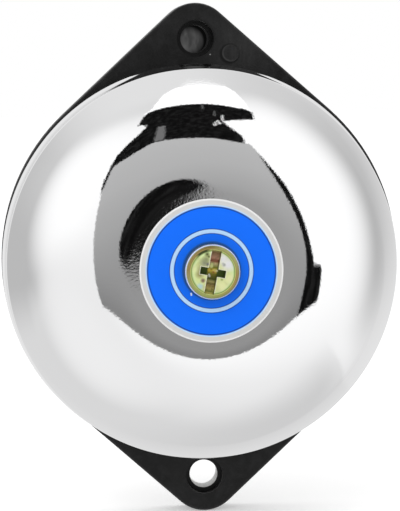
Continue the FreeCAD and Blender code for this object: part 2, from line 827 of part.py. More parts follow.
def make_yoke_screws():
    """Two pan-head screws through the yoke's feet into the base."""
    body = new_body("yoke_screws")
    for name, sign in (("left", "-"), ("right", "")):
        x, y = f"{sign}foot_spacing / 2", "foot_screw_side"
        foot = (x, y, "foot_screw_seat - foot_screw_length")
        cylinder(body, f"{name}_shank", foot, "foot_screw_diameter / 2", "foot_screw_length")
        cylinder(body, f"{name}_head", (x, y, "foot_screw_seat"), "foot_head_radius", "foot_head_height")
        slot = (f"{x} - foot_head_radius", f"{y} - screwdriver_slot_width / 2")
        floor = "foot_screw_seat + foot_head_height - screwdriver_slot_depth"
        size = ("2 * foot_head_radius", "screwdriver_slot_width", "screwdriver_slot_depth")
        block(body, f"{name}_slot", (*slot, floor), size, cut=True)
    return body


def make_core():
    """Soft-iron core, with a turned-down end riveted over the yoke's back leg."""
    body = new_body("core")
    y, z = "coil_side", "coil_height"
    inner = "yoke_thickness - yoke_back"
    cylinder(body, "core_bar", (inner, y, z), "core_radius", f"pole_face - ({inner})", "right")
    shank = "yoke_thickness + rivet_head_height"
    start = "-yoke_back - rivet_head_height"
    cylinder(body, "core_shank", (start, y, z), "core_shank_radius", shank, "right")
    cylinder(body, "core_rivet_head", (start, y, z), "core_radius", "rivet_head_height", "right")
    return body


def make_pole_shim():
    """Brass disc that keeps the armature from sticking to the pole."""
    body = new_body("pole_shim")
    at = ("pole_face", "coil_side", "coil_height")
    cylinder(body, "shim_disc", at, "core_radius", "shim_thickness", "right")
    return body


def make_bobbin():
    """Moulded coil former: a tube with a square flange at each end."""
    body = new_body("bobbin")
    y, z = "coil_side - flange_width / 2", "coil_height - flange_width / 2"
    for name, x in (("back", "bobbin_start"), ("front", "bobbin_end - flange_thickness")):
        block(body, f"{name}_flange", (x, y, z), ("flange_thickness", "flange_width", "flange_width"))
    axis = ("bobbin_start", "coil_side", "coil_height")
    cylinder(body, "bobbin_tube", axis, "tube_radius", "bobbin_length", "right")
    straight = reading("flange_thickness")

    def corner(edge):
        return abs(edge.Length - straight) < SAME and abs(edge.BoundBox.XLength - straight) < SAME

    tidy_edges(body, "flange_corners", "Fillet", "flange_corner_radius", corner)
    bore = "core_radius + fit_clearance"
    cylinder(body, "bobbin_bore", axis, bore, "bobbin_length", "right", cut=True)
    return body


def make_sleeve(label, inner, outer):
    """A round layer between the bobbin's flanges."""
    body = new_body(label)
    at = ("bobbin_start + flange_thickness", "coil_side", "coil_height")
    cylinder(body, f"{label}_outside", at, outer, "winding_length", "right")
    cylinder(body, f"{label}_inside", at, inner, "winding_length", "right", cut=True)
    return body


# ---------------------------------------------------------------- lever and striker


def arm_frame():
    """A frame on the pivot's axis at the coil's height, with +x towards the ball."""
    reach = reading("ball_reach")
    angle = math.radians(reading("ball_angle"))
    pivot = FreeCAD.Vector(reading("pivot_right"), reading("pivot_up"), reading("coil_height"))
    ball = FreeCAD.Vector(reach * math.cos(angle), -reach * math.sin(angle), pivot.z)
    arm = ball - pivot
    turn = FreeCAD.Rotation(FreeCAD.Vector(1, 0, 0), arm)
    return FreeCAD.Placement(pivot, turn), arm.Length


def make_lever():
    """Lever: a plate behind the armature, a bearing barrel, a stub for the rod, a spring arm."""
    body = new_body("striker_lever")
    frame, length = arm_frame()
    cylinder(
        body, "barrel", ("pivot_right", "pivot_up", "barrel_foot"), "barrel_radius", "barrel_height"
    )
    block(
        body,
        "lever_plate",
        ("armature_back", "pivot_up", "barrel_foot + lever_shoulder"),
        ("lever_thickness", "armature_end - pivot_up", "barrel_height - 2 * lever_shoulder"),
    )
    stub = body.newObject("PartDesign::AdditiveCylinder", "stub")
    stub.Placement = frame.multiply(FreeCAD.Placement(FreeCAD.Vector(), DIRECTIONS["right"]))
    bind(stub, Radius="stub_radius", Height="stub_length")
    at = ("pivot_right", "pivot_up", "coil_height")
    cylinder(body, "spring_arm", at, "spring_arm_radius", "spring_arm_length", "right")
    collar = ("pivot_right + spring_arm_length - spring_arm_collar", "pivot_up", "coil_height")
    radius = "spring_arm_radius + collar_overhang"
    cylinder(body, "spring_arm_end", collar, radius, "spring_arm_collar", "right")
    bore = "pivot_pin_radius + pivot_clearance"
    cylinder(
        body, "barrel_bore", ("pivot_right", "pivot_up", "barrel_foot"), bore, "barrel_height", cut=True
    )
    socket = body.newObject("PartDesign::SubtractiveCylinder", "rod_socket")
    start = FreeCAD.Vector(reading("stub_length - rod_grip"), 0, 0)
    socket.Placement = frame.multiply(FreeCAD.Placement(start, DIRECTIONS["right"]))
    bind(socket, Radius="rod_radius", Height="rod_grip")
    for name, y in rivet_places():
        hole = ("armature_back", y, "coil_height")
        cylinder(
            body, f"lever_{name}_hole", hole, "lever_rivet_radius", "lever_thickness", "right", cut=True
        )
    return body


def rivet_places():
    upper = "coil_side + lever_rivet_spacing / 2 - lever_rivet_drop"
    return (("upper", upper), ("lower", f"{upper} - lever_rivet_spacing"))


def make_armature():
    """Soft-iron plate in front of the pole."""
    body = new_body("armature")
    block(
        body,
        "armature_plate",
        ("armature_face", "armature_start", "coil_height - armature_height / 2"),
        ("armature_thickness", "armature_length", "armature_height"),
    )
    thickness = reading("armature_thickness")

    def corner(edge):
        return abs(edge.BoundBox.XLength - thickness) < SAME

    tidy_edges(body, "armature_corners", "Fillet", "armature_corner_radius", corner)
    for name, y in rivet_places():
        hole = ("armature_face", y, "coil_height")
        cylinder(
            body, f"armature_{name}_hole", hole, "lever_rivet_radius", "armature_thickness", "right", cut=True
        )
    return body


def make_armature_rivets():
    """Two rivets, flush towards the pole and domed at the lever."""
    body = new_body("armature_rivets")
    for name, y in rivet_places():
        shank = "armature_thickness + lever_thickness"
        at = ("armature_face", y, "coil_height")
        cylinder(body, f"{name}_rivet", at, "lever_rivet_radius", shank, "right")
        head = ("lever_back", y, "coil_height")
        cylinder(body, f"{name}_rivet_head", head, "lever_rivet_head_radius", "rivet_head_height", "right")
    return body


def make_rod():
    """Straight wire rod from the lever's stub into the ball."""
    frame, length = arm_frame()
    body = new_body("striker_rod", frame)
    start = reading("stub_length - rod_grip")
    wire = body.newObject("PartDesign::AdditiveCylinder", "rod_wire")
    wire.Placement = FreeCAD.Placement(FreeCAD.Vector(start, 0, 0), DIRECTIONS["right"])
    wire.Height = length - start
    bind(wire, Radius="rod_radius")
    return body


def make_ball():
    """Brass ball with a blind hole for the rod's end."""
    frame, length = arm_frame()
    body = new_body("striker_ball", frame)
    ball = body.newObject("PartDesign::AdditiveSphere", "ball")
    ball.Placement = FreeCAD.Placement(FreeCAD.Vector(length, 0, 0), FreeCAD.Rotation())
    bind(ball, Radius="ball_radius")
    hole = body.newObject("PartDesign::SubtractiveCylinder", "ball_hole")
    start = FreeCAD.Vector(length - reading("ball_radius"), 0, 0)
    hole.Placement = FreeCAD.Placement(start, DIRECTIONS["right"])
    bind(hole, Radius="rod_radius", Height="ball_radius")
    return body


def make_pivot_pin():
    """Steel pin pressed into the base, with a groove for its clip."""
    body = new_body("pivot_pin")
    x, y = "pivot_right", "pivot_up"
    neck = "pivot_pin_radius - groove_depth"
    cylinder(body, "pin_bar", (x, y, "pin_foot"), "pivot_pin_radius", "clip_foot - pin_foot")
    cylinder(body, "pin_neck", (x, y, "clip_foot"), neck, "clip_thickness")
    tip = (x, y, "clip_foot + clip_thickness")
    cylinder(body, "pin_tip", tip, "pivot_pin_radius", "pin_tip_height")
    return body


def make_pivot_clip():
    """Open retaining ring in the pin's groove."""
    body = new_body("pivot_clip")
    x, y, z = "pivot_right", "pivot_up", "clip_foot"
    neck = "pivot_pin_radius - groove_depth"
    cylinder(body, "clip_ring", (x, y, z), "clip_radius", "clip_thickness")
    cylinder(body, "clip_eye", (x, y, z), neck, "clip_thickness", cut=True)
    mouth = (x, f"{y} - ({neck})", z)
    block(body, "clip_mouth", mouth, ("clip_radius", f"2 * ({neck})", "clip_thickness"), cut=True)
    return body


def make_stop_pin():
    """Steel pin that carries the back stop's sleeve."""
    body = new_body("stop_pin")
    height = "pin_socket_depth + stop_pin_height"
    cylinder(body, "stop_bar", ("stop_right", "stop_up", "pin_foot"), "stop_pin_radius", height)
    return body


def make_stop_sleeve():
    """Rubber sleeve that the lever rests against."""
    body = new_body("stop_sleeve")
    foot = ("stop_right", "stop_up", "deck_height + stop_sleeve_lift")
    cylinder(body, "sleeve_outside", foot, "stop_sleeve_radius", "stop_sleeve_height")
    cylinder(body, "sleeve_bore", foot, "stop_pin_radius", "stop_sleeve_height", cut=True)
    return body


def make_spring_post():
    """Steel post with a collar that keeps the spring's loop on."""
    body = new_body("spring_post")
    x, y = "spring_right", "spring_post_up"
    top = "coil_height + spring_half_width"
    cylinder(body, "spring_post_bar", (x, y, "pin_foot"), "spring_post_radius", f"{top} - (pin_foot)")
    collar = (x, y, f"{top} - spring_arm_collar")
    radius = "spring_post_radius + collar_overhang"
    cylinder(body, "spring_post_collar", collar, radius, "spring_arm_collar")
    return body


def make_return_spring():
    """Tension spring with a loop at each end, one round the lever's arm, one round the post."""
    wire = reading("spring_wire_radius")
    coil = reading("spring_coil_radius")
    middle = FreeCAD.Vector(reading("spring_right"), reading("pivot_up"), reading("coil_height"))
    arm_loop = reading("spring_arm_radius + spring_loop_gap + spring_wire_radius")
    post_loop = reading("spring_post_radius + spring_loop_gap + spring_wire_radius")
    lead_in = reading("spring_lead_in")
    bead = reading("spring_bead_radius")
    post = middle - FreeCAD.Vector(0, reading("spring_span"), 0)
    coil_end = middle - FreeCAD.Vector(0, arm_loop + lead_in, 0)
    coil_start = post + FreeCAD.Vector(0, post_loop + lead_in, 0)
    height = coil_end.y - coil_start.y
    helix = Part.makeHelix(height / reading("spring_turns"), height, coil)
    section = Part.Wire([Part.makeCircle(wire, FreeCAD.Vector(coil, 0, 0), FreeCAD.Vector(0, 1, 0))])
    coils = Part.Wire(helix.Edges).makePipeShell([section], True, True)
    coils.Placement = FreeCAD.Placement(coil_start, FreeCAD.Rotation(FreeCAD.Vector(1, 0, 0), -90))
    ends = (
        (coil_end, middle - FreeCAD.Vector(0, arm_loop, 0), arm_loop, middle, FreeCAD.Vector(1, 0, 0)),
        (coil_start, post + FreeCAD.Vector(0, post_loop, 0), post_loop, post, FreeCAD.Vector(0, 0, 1)),
    )
    for end, joint, loop, centre, axis in ends:
        outer = end + FreeCAD.Vector(coil, 0, 0)
        run = joint - outer
        hook = Part.makeCylinder(wire, run.Length, outer, run)
        hook = hook.fuse(Part.makeSphere(bead, outer)).fuse(Part.makeSphere(bead, joint))
        coils = coils.fuse(hook.fuse(Part.makeTorus(loop, wire, centre, axis)))
    spring = doc.addObject("Part::Feature", "return_spring")
    spring.Shape = coils
    spring.Placement = ON_THE_WALL
    return spring


# ---------------------------------------------------------------- terminals, leads and inlet


def terminal_place(steps):
    return f"-terminal_left - {steps} * terminal_pitch"


def make_terminal_block():
    """Two-way block with dividing walls, held by two spigots staked at the back of the deck."""
    body = new_body("terminal_block")
    y = "terminal_far_edge"
    left = "-terminal_left - 3 * terminal_pitch / 2 - terminal_wall / 2"
    width = "2 * terminal_pitch + terminal_wall"
    size = (width, "terminal_block_depth", "terminal_floor")
    block(body, "terminal_floor_slab", (left, y, "deck_height"), size)
    for number in range(3):
        wall = (f"{left} + {number} * terminal_pitch", y, "terminal_plate_foot")
        size = ("terminal_wall", "terminal_block_depth", "terminal_wall_height")
        block(body, f"terminal_wall_{number}", wall, size)
    for steps in (0, 1):
        centre = terminal_place(steps)
        spigot = "deck_height - recess_floor + spigot_head_height"
        foot = (centre, "-terminal_drop", "recess_floor - spigot_head_height")
        cylinder(body, f"spigot_{steps}", foot, "spigot_radius", spigot)
        cylinder(body, f"spigot_head_{steps}", foot, "spigot_head_radius", "spigot_head_height")
        hole = (centre, "-terminal_drop", "terminal_clamp_top - terminal_screw_length - thread_clearance")
        radius = "terminal_screw_diameter / 2 + thread_clearance"
        depth = "terminal_screw_length + thread_clearance"
        cylinder(body, f"terminal_hole_{steps}", hole, radius, depth, cut=True)
    return body


def make_terminal_plates():
    """Two brass plates, each with a tail that a coil lead is joined to."""
    body = new_body("terminal_plates")
    width = "terminal_pitch - terminal_wall - 2 * plate_side_gap"
    for steps in (0, 1):
        centre = terminal_place(steps)
        start = (f"{centre} - ({width}) / 2", "terminal_far_edge", "terminal_plate_foot")
        block(body, f"plate_{steps}", start, (width, "terminal_block_depth + plate_tail", "plate_thickness"))
        hole = (centre, "-terminal_drop", "terminal_plate_foot")
        radius = "terminal_screw_diameter / 2 + thread_clearance"
        cylinder(body, f"plate_hole_{steps}", hole, radius, "plate_thickness", cut=True)
    return body


def make_terminal_washers():
    """Two square clamping washers."""
    body = new_body("terminal_washers")
    for steps in (0, 1):
        centre = terminal_place(steps)
        start = (f"{centre} - clamp_width / 2", "-terminal_drop - clamp_width / 2", "terminal_plate_top")
        block(body, f"washer_{steps}", start, ("clamp_width", "clamp_width", "clamp_thickness"))
        hole = (centre, "-terminal_drop", "terminal_plate_top")
        radius = "terminal_screw_diameter / 2 + hole_clearance"
        cylinder(body, f"washer_hole_{steps}", hole, radius, "clamp_thickness", cut=True)
    return body


def make_terminal_screws():
    """Two slotted terminal screws."""
    body = new_body("terminal_screws")
    for steps in (0, 1):
        x, y = terminal_place(steps), "-terminal_drop"
        foot = (x, y, "terminal_clamp_top - terminal_screw_length")
        radius = "terminal_screw_diameter / 2"
        cylinder(body, f"terminal_shank_{steps}", foot, radius, "terminal_screw_length")
        head = (x, y, "terminal_clamp_top")
        cylinder(body, f"terminal_head_{steps}", head, "terminal_head_radius", "terminal_head_height")
        slot = (
            f"{x} - terminal_head_radius",
            f"{y} - screwdriver_slot_width / 2",
            "terminal_clamp_top + terminal_head_height - screwdriver_slot_depth",
        )
        size = ("2 * terminal_head_radius", "screwdriver_slot_width", "screwdriver_slot_depth")
        block(body, f"terminal_slot_{steps}", slot, size, cut=True)
    return body


def make_grommet():
    """Rubber grommet in the deck's inlet hole, with a lip on each side."""
    body = new_body("inlet_grommet")
    x, y = "0", "-inlet_drop"
    lip = "inlet_hole_radius + grommet_lip"
    foot = "recess_floor - grommet_lip_thickness"
    cylinder(body, "grommet_neck", (x, y, "recess_floor"), "inlet_hole_radius", "deck_height - recess_floor")
    cylinder(body, "grommet_back_lip", (x, y, foot), lip, "grommet_lip_thickness")
    cylinder(body, "grommet_front_lip", (x, y, "deck_height"), lip, "grommet_lip_thickness")
    depth = "deck_height - recess_floor + 2 * grommet_lip_thickness"
    cylinder(body, "grommet_bore", (x, y, foot), "inlet_bore_radius", depth, cut=True)
    return body


def round_path(points, share):
    """Straight runs between the points, joined by arcs that take a share of the shorter run."""
    edges = []
    last = points[0]
    for before, corner, after in zip(points, points[1:], points[2:]):
        back = before - corner
        ahead = after - corner
        setback = share * min(back.Length, ahead.Length)
        back.normalize()
        ahead.normalize()
        half_turn = (math.pi - back.getAngle(ahead)) / 2
        bend = setback / math.tan(half_turn)
        start = corner + back * setback
        end = corner + ahead * setback
        inward = (back + ahead).normalize()
        centre = corner + inward * (bend / math.cos(half_turn))
        middle = centre - inward * bend
        edges.append(Part.makeLine(last, start))
        edges.append(Part.Arc(start, middle, end).toShape())
        last = end
    edges.append(Part.makeLine(last, points[-1]))
    return Part.Wire(edges)


def make_lead(label, steps):
    """Insulated wire from the coil, over the yoke's back leg, to a terminal's tail."""
    radius = reading("lead_radius")
    start_x = reading(f"bobbin_start + flange_thickness + lead_pitch * ({steps} + 1)")
    side = reading("coil_side")
    tape = reading("coil_height + tape_radius + thread_clearance")
    rise = tape + reading(f"lead_rise + lead_pitch * {steps}")
    outside = reading(f"{terminal_place(1)} + lead_pitch * (1 - {steps})")
    tail_x = reading(terminal_place(steps))
    tail_level = reading("terminal_plate_top + lead_radius")
    tail_y = reading("terminal_near_edge + plate_tail - lead_tail_grip")
    turn_y = tail_y + reading("lead_turn_back")
    points = [(start_x, side, tape), (start_x, side, rise), (outside, side, rise)]
    if steps == 0:
        points.append((outside, turn_y, tail_level))
    points += [(tail_x, turn_y, tail_level), (tail_x, tail_y, tail_level)]
    path = round_path([FreeCAD.Vector(*point) for point in points], reading("lead_bend_share"))
    first = FreeCAD.Vector(*points[0])
    section = Part.Wire([Part.makeCircle(radius, first, FreeCAD.Vector(0, 0, 1))])
    lead = doc.addObject("Part::Feature", label)
    lead.Shape = path.makePipeShell([section], True, False)
    lead.Placement = ON_THE_WALL
    return lead


def check_document(nodes):
    """Stops at a failed object, an empty cut, or a node that isn't sound."""
    for item in doc.Objects:
        if "Invalid" in item.State or "Error" in item.State:
            raise RuntimeError(f"{item.Name} failed: {item.State}")
        base = getattr(item, "BaseFeature", None)
        if base and ("Subtractive" in item.TypeId or "Pocket" in item.TypeId):
            if item.Shape.Volume >= base.Shape.Volume - SAME:
                raise RuntimeError(f"{item.Name} cuts nothing")
    for node in nodes:
        if node.Shape.isNull() or not node.Shape.isValid() or not node.Shape.Solids:
            raise RuntimeError(f"{node.Label} has no sound solid")


def main():
    nodes = [
        make_base(),
        make_back_disc(),
        make_post_screw(),
        make_post(),
        make_seat_washer(),
        make_gong(),
        make_label(),
        make_gong_screw(),
        make_yoke(),
        make_yoke_screws(),
        make_core(),
        make_pole_shim(),
        make_bobbin(),
        make_sleeve("winding", "tube_radius", "winding_radius"),
        make_sleeve("coil_tape", "winding_radius", "tape_radius"),
        make_lever(),
        make_armature(),
        make_armature_rivets(),
        make_rod(),
        make_ball(),
        make_pivot_pin(),
        make_pivot_clip(),
        make_stop_pin(),
        make_stop_sleeve(),
        make_spring_post(),
        make_return_spring(),
        make_terminal_block(),
        make_terminal_plates(),
        make_terminal_washers(),
        make_terminal_screws(),
        make_grommet(),
        make_lead("coil_lead_a", 0),
        make_lead("coil_lead_b", 1),
    ]
    doc.removeObject("Gauge")
    doc.recompute()
    check_document(nodes)
    os.makedirs("parts", exist_ok=True)
    for node in nodes:
        node.Shape.exportStep(f"parts/{node.Label}.step")
        box = node.Shape.BoundBox
        print(
            f"{node.Label:18s} {len(node.Shape.Solids)} solids {node.Shape.Volume:9.2f} mm3"
            f"  x {box.XMin:7.2f} {box.XMax:7.2f}  y {box.YMin:7.2f} {box.YMax:7.2f}"
            f"  z {box.ZMin:7.2f} {box.ZMax:7.2f}"
        )


main()
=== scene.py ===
import math

import bmesh
import bpy
from mathutils import Matrix, Vector


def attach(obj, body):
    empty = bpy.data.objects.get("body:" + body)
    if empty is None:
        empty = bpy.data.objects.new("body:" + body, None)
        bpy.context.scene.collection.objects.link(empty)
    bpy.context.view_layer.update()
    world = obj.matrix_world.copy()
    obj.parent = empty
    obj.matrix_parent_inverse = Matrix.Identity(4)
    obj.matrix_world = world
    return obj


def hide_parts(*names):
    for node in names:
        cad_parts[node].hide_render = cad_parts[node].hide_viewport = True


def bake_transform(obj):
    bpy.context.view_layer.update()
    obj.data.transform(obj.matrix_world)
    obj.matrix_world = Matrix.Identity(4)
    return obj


# A small electric wall bell: a chromed dome gong on a black moulded base, with the coil, the
# striker and the terminals under the gong. Pieces are drawn in millimetres as the bell lies on
# a bench, wall side down: x to the right, y towards the upper ear, z out of the wall.

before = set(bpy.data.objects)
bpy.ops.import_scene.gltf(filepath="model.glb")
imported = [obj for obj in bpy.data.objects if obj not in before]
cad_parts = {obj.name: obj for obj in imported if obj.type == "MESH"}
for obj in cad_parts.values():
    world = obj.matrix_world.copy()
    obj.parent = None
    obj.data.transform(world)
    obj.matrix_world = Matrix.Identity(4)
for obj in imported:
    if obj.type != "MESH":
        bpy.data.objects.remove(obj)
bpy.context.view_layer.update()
MM = 0.001
ON_THE_WALL = Matrix.Rotation(math.radians(90), 4, "X") @ Matrix.Scale(MM, 4)

# ---------------------------------------------------------------- moulded base
# One compression moulding in black phenolic, with an ear and a screw hole at each end. Its skin
# has the fine dull grain of a sparked mould, and it is rubbed beside the upper hole.


def finish(name, colour, rough, metal=0.0):
    """A new material and its shader, in one colour to start from."""
    material = bpy.data.materials.new(name)
    material.use_nodes = True
    shader = material.node_tree.nodes["Principled BSDF"]
    shader.inputs["Base Color"].default_value = (*colour, 1)
    shader.inputs["Roughness"].default_value = rough
    shader.inputs["Metallic"].default_value = metal
    return material, shader


def add(material, kind, inputs=None, **settings):
    """A node with its inputs: a socket is linked, and any other value is written on the input."""
    node = material.node_tree.nodes.new("ShaderNode" + kind)
    for key, value in settings.items():
        setattr(node, key, value)
    for key, value in (inputs or {}).items():
        if isinstance(value, bpy.types.NodeSocket):
            material.node_tree.links.new(value, node.inputs[key])
        else:
            node.inputs[key].default_value = value
    return node


def feed(material, shader, key, socket):
    material.node_tree.links.new(socket, shader.inputs[key])


def worked(material, operation, *values, clamp=False):
    """Arithmetic on patterns and numbers."""
    inputs = dict(enumerate(values))
    return add(material, "Math", inputs, operation=operation, use_clamp=clamp).outputs["Value"]


def place(material, centre=(0, 0, 0), turn=(0, 0, 0), stretch=(1, 1, 1)):
    """Object coordinates in millimetres, seen from a point on the piece."""
    where = add(material, "TexCoord").outputs["Object"]
    moved = add(
        material,
        "Mapping",
        {"Vector": where, "Location": [-c * MM for c in centre]},
    ).outputs["Vector"]
    return add(
        material,
        "Mapping",
        {"Vector": moved, "Rotation": turn, "Scale": [s / MM for s in stretch]},
    ).outputs["Vector"]


def grain(material, where, size, detail=2.0):
    """Soft noise with features of about that size in millimetres."""
    inputs = {"Vector": where, "Scale": 1 / size, "Detail": detail}
    return add(material, "TexNoise", inputs).outputs["Fac"]


def spread(material, value, low, high, start=0.3, end=0.7):
    """Maps a pattern onto the range from low to high."""
    inputs = {"Value": value, "From Min": start, "From Max": end, "To Min": low, "To Max": high}
    return add(material, "MapRange", inputs).outputs["Result"]


def tones(material, value, *stops):
    """A colour ramp: each stop is a position and a colour."""
    ramp = add(material, "ValToRGB", {"Fac": value})
    band = ramp.color_ramp
    while len(band.elements) < len(stops):
        band.elements.new(0.5)
    for element, (position, colour) in zip(band.elements, stops):
        element.position = position
        element.color = (*colour, 1)
    return ramp.outputs["Color"]


def relief(material, shader, pattern, depth):
    """Bump of that depth in millimetres."""
    bump = add(material, "Bump", {"Height": pattern, "Distance": depth * MM, "Strength": 1.0})
    feed(material, shader, "Normal", bump.outputs["Normal"])


def tinted(material, shader, pattern, dark, light, rough=None):
    """Lets a pattern move the colour between two tones, and the roughness between two values."""
    colour = tones(material, pattern, (0.3, dark), (0.7, light))
    feed(material, shader, "Base Color", colour)
    if rough:
        feed(material, shader, "Roughness", spread(material, pattern, *rough))


def dress(material, *nodes):
    """Gives CAD nodes their finish."""
    for name in nodes:
        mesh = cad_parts[name].data
        mesh.materials.clear()
        mesh.materials.append(material)


def spot(material, where, centre, radius, soft=0.3):
    """One inside a round patch on the piece's front, falling to zero over its soft edge."""
    point = (centre[0], 0, centre[1])
    flat = add(material, "VectorMath", {0: where, 1: (1, 0, 1)}, operation="MULTIPLY").outputs["Vector"]
    reach = add(material, "VectorMath", {0: flat, 1: point}, operation="DISTANCE").outputs["Value"]
    return spread(material, reach, 1.0, 0.0, radius - soft, radius + soft)


def over(material, share, under, top):
    """Lays one colour over another by that share."""
    mixed = add(material, "Mix", {"Factor": share}, data_type="RGBA")
    for key, colour in ((6, under), (7, top)):
        if isinstance(colour, tuple):
            mixed.inputs[key].default_value = (*colour, 1)
        else:
            material.node_tree.links.new(colour, mixed.inputs[key])
    return mixed.outputs[2]


WORN_PATCH, SPECK = (6.0, 29.5), (2.05, 28.75)
UPPER_RECESS, UPPER_WALL, LOWER_HOLE = (0.35, 31.2), (-0.6, 34.3), (0, -31)
EJECTOR_MARK, MARK_FLOOR, MARK_SHADE = (4.95, 28.9), (5.05, 28.95), (4.8, 28.8)

base_black, shader = finish("base_black", (0.009, 0.009, 0.009), 0.4)
shader.inputs["Specular IOR Level"].default_value = 0.33
where = place(base_black)
mottle = grain(base_black, where, 5.0, 4.0)
skin = grain(base_black, where, 0.3, 3.0)
rubbed = grain(base_black, place(base_black, turn=(0, 0.7, 0), stretch=(1, 1, 0.15)), 0.5, 3.0)
cloudy = grain(base_black, where, 1.3, 3.0)
colour = tones(base_black, mottle, (0.3, (0.004, 0.004, 0.004)), (0.7, (0.009, 0.009, 0.009)))
pale = spread(base_black, cloudy, 0.0, 0.8, 0.48, 0.7)
colour = over(base_black, pale, colour, (0.014, 0.014, 0.0145))
worn = worked(base_black, "MULTIPLY", spot(base_black, where, WORN_PATCH, 4.0, 3.0), rubbed)
colour = over(base_black, worn, colour, (0.030, 0.030, 0.030))

# The walls of the screw holes and the ejector mark carry painted light and shade.
hollow = spot(base_black, where, UPPER_RECESS, 2.45)
colour = over(base_black, hollow, colour, (0.0025, 0.0025, 0.0025))
rise = add(base_black, "SeparateXYZ", {"Vector": where}).outputs["Y"]
below_ledge = spread(base_black, rise, 0.0, 1.0, -3.75, -3.6)
above_ledge = spread(base_black, rise, 1.0, 0.0, -4.05, -3.9)
under_top = spread(base_black, rise, 0.0, 1.0, -5.45, -5.3)
wall = worked(base_black, "MAXIMUM", below_ledge, above_ledge)
wall = worked(base_black, "MULTIPLY", wall, spot(base_black, where, UPPER_WALL, 3.0, 0.4))
wall = worked(base_black, "MULTIPLY", wall, under_top)
colour = over(base_black, wall, colour, (0.14, 0.14, 0.14))
lower_bore = spot(base_black, where, LOWER_HOLE, 2.12, 0.05)
colour = over(
    base_black,
    worked(base_black, "MULTIPLY", below_ledge, lower_bore),
    colour,
    (0.75, 0.75, 0.74),
)
mark = spot(base_black, where, EJECTOR_MARK, 1.2, 0.07)
mark_floor = spot(base_black, where, MARK_FLOOR, 1.12, 0.12)
lit_edge = worked(base_black, "SUBTRACT", mark, mark_floor, clamp=True)
colour = over(base_black, lit_edge, colour, (0.055, 0.055, 0.055))
shade = spot(base_black, where, MARK_SHADE, 1.42, 0.14)
shade = worked(base_black, "SUBTRACT", shade, mark, clamp=True)
colour = over(base_black, shade, colour, (0.002, 0.002, 0.002))
colour = over(base_black, spot(base_black, where, SPECK, 0.07, 0.04), colour, (0.45, 0.45, 0.45))
feed(base_black, shader, "Base Color", colour)
feed(base_black, shader, "Roughness", spread(base_black, mottle, 0.34, 0.48))
relief(base_black, shader, skin, 0.02)
dress(base_black, "base_plate")

# ---------------------------------------------------------------- pillar and its screw
# A zinc-plated hexagon pillar, tapped at both ends, carries the gong. A countersunk screw pulls
# it down into the base, and a disc of varnished fibre board covers that screw at the wall side.


def zinc(name, colour, rough=0.32):
    """Electroplated zinc: faintly cloudy, with a fine grain."""
    material, shader = finish(name, colour, rough, 1.0)
    where = place(material)
    cloud = grain(material, where, 1.8, 3.0)
    fine = grain(material, where, 0.12, 2.0)
    dark = tuple(c * 0.82 for c in colour)
    tinted(material, shader, cloud, dark, colour, (rough - 0.07, rough + 0.09))
    relief(material, shader, fine, 0.006)
    return material


bright_zinc = zinc("bright_zinc", (0.62, 0.64, 0.67))
dress(bright_zinc, "gong_post", "post_screw")

insulating_sheet, shader = finish("insulating_sheet", (0.10, 0.055, 0.03), 0.5)
fibres = grain(insulating_sheet, place(insulating_sheet, stretch=(0.2, 1, 1)), 0.25, 3.0)
tinted(insulating_sheet, shader, fibres, (0.075, 0.04, 0.022), (0.13, 0.075, 0.042), (0.42, 0.6))
relief(insulating_sheet, shader, fibres, 0.02)
dress(insulating_sheet, "back_disc")

# ---------------------------------------------------------------- yoke and core
# The magnet's frame is mild steel strip on edge, bent round the back of the coil, with two feet
# screwed to the deck. Its soft-iron core is riveted in, with a brass shim on the pole.

dress(bright_zinc, "yoke", "yoke_screws")

soft_iron, shader = finish("soft_iron", (0.40, 0.39, 0.38), 0.4, 1.0)
where = place(soft_iron)
scale = grain(soft_iron, where, 0.9, 4.0)
tinted(soft_iron, shader, scale, (0.30, 0.29, 0.28), (0.44, 0.43, 0.42), (0.32, 0.5))
relief(soft_iron, shader, grain(soft_iron, where, 0.15, 3.0), 0.01)
dress(soft_iron, "core")

brass, shader = finish("brass", (0.72, 0.50, 0.20), 0.25, 1.0)
where = place(brass)
tarnish = grain(brass, where, 1.2, 3.0)
tinted(brass, shader, tarnish, (0.60, 0.39, 0.14), (0.78, 0.56, 0.25), (0.2, 0.36))
relief(brass, shader, grain(brass, where, 0.1), 0.004)
dress(brass, "pole_shim")

# ---------------------------------------------------------------- coil
# A moulded white former with square flanges is wound with enamelled copper, and a wrap of
# yellow tape covers the turns. Two insulated wires lead from it to the terminals.

bobbin_white, shader = finish("bobbin_white", (0.78, 0.77, 0.72), 0.42)
where = place(bobbin_white)
tint = grain(bobbin_white, where, 4.0)
tinted(bobbin_white, shader, tint, (0.72, 0.70, 0.64), (0.80, 0.79, 0.75), (0.36, 0.5))
relief(bobbin_white, shader, grain(bobbin_white, where, 0.25), 0.012)
dress(bobbin_white, "bobbin")

copper_wire, shader = finish("copper_wire", (0.62, 0.27, 0.12), 0.28, 1.0)
where = place(copper_wire)
turns = add(
    copper_wire,
    "TexWave",
    {"Vector": where, "Scale": 1 / 0.56, "Distortion": 0.4, "Detail": 1.0},
    bands_direction="X",
).outputs["Fac"]
# The turns are darker between the wires: painted shade in the grooves.
turns_groove_shade = tones(copper_wire, turns, (0.0, (0.30, 0.10, 0.04)), (0.6, (0.68, 0.30, 0.14)))
feed(copper_wire, shader, "Base Color", turns_groove_shade)
relief(copper_wire, shader, turns, 0.06)
dress(copper_wire, "winding")

coil_wrap, shader = finish("coil_wrap", (0.72, 0.52, 0.08), 0.38)
crease = grain(coil_wrap, place(coil_wrap, stretch=(1, 0.3, 0.3)), 0.5, 3.0)
tinted(coil_wrap, shader, crease, (0.62, 0.42, 0.05), (0.78, 0.58, 0.11), (0.3, 0.46))
relief(coil_wrap, shader, crease, 0.03)
dress(coil_wrap, "coil_tape")


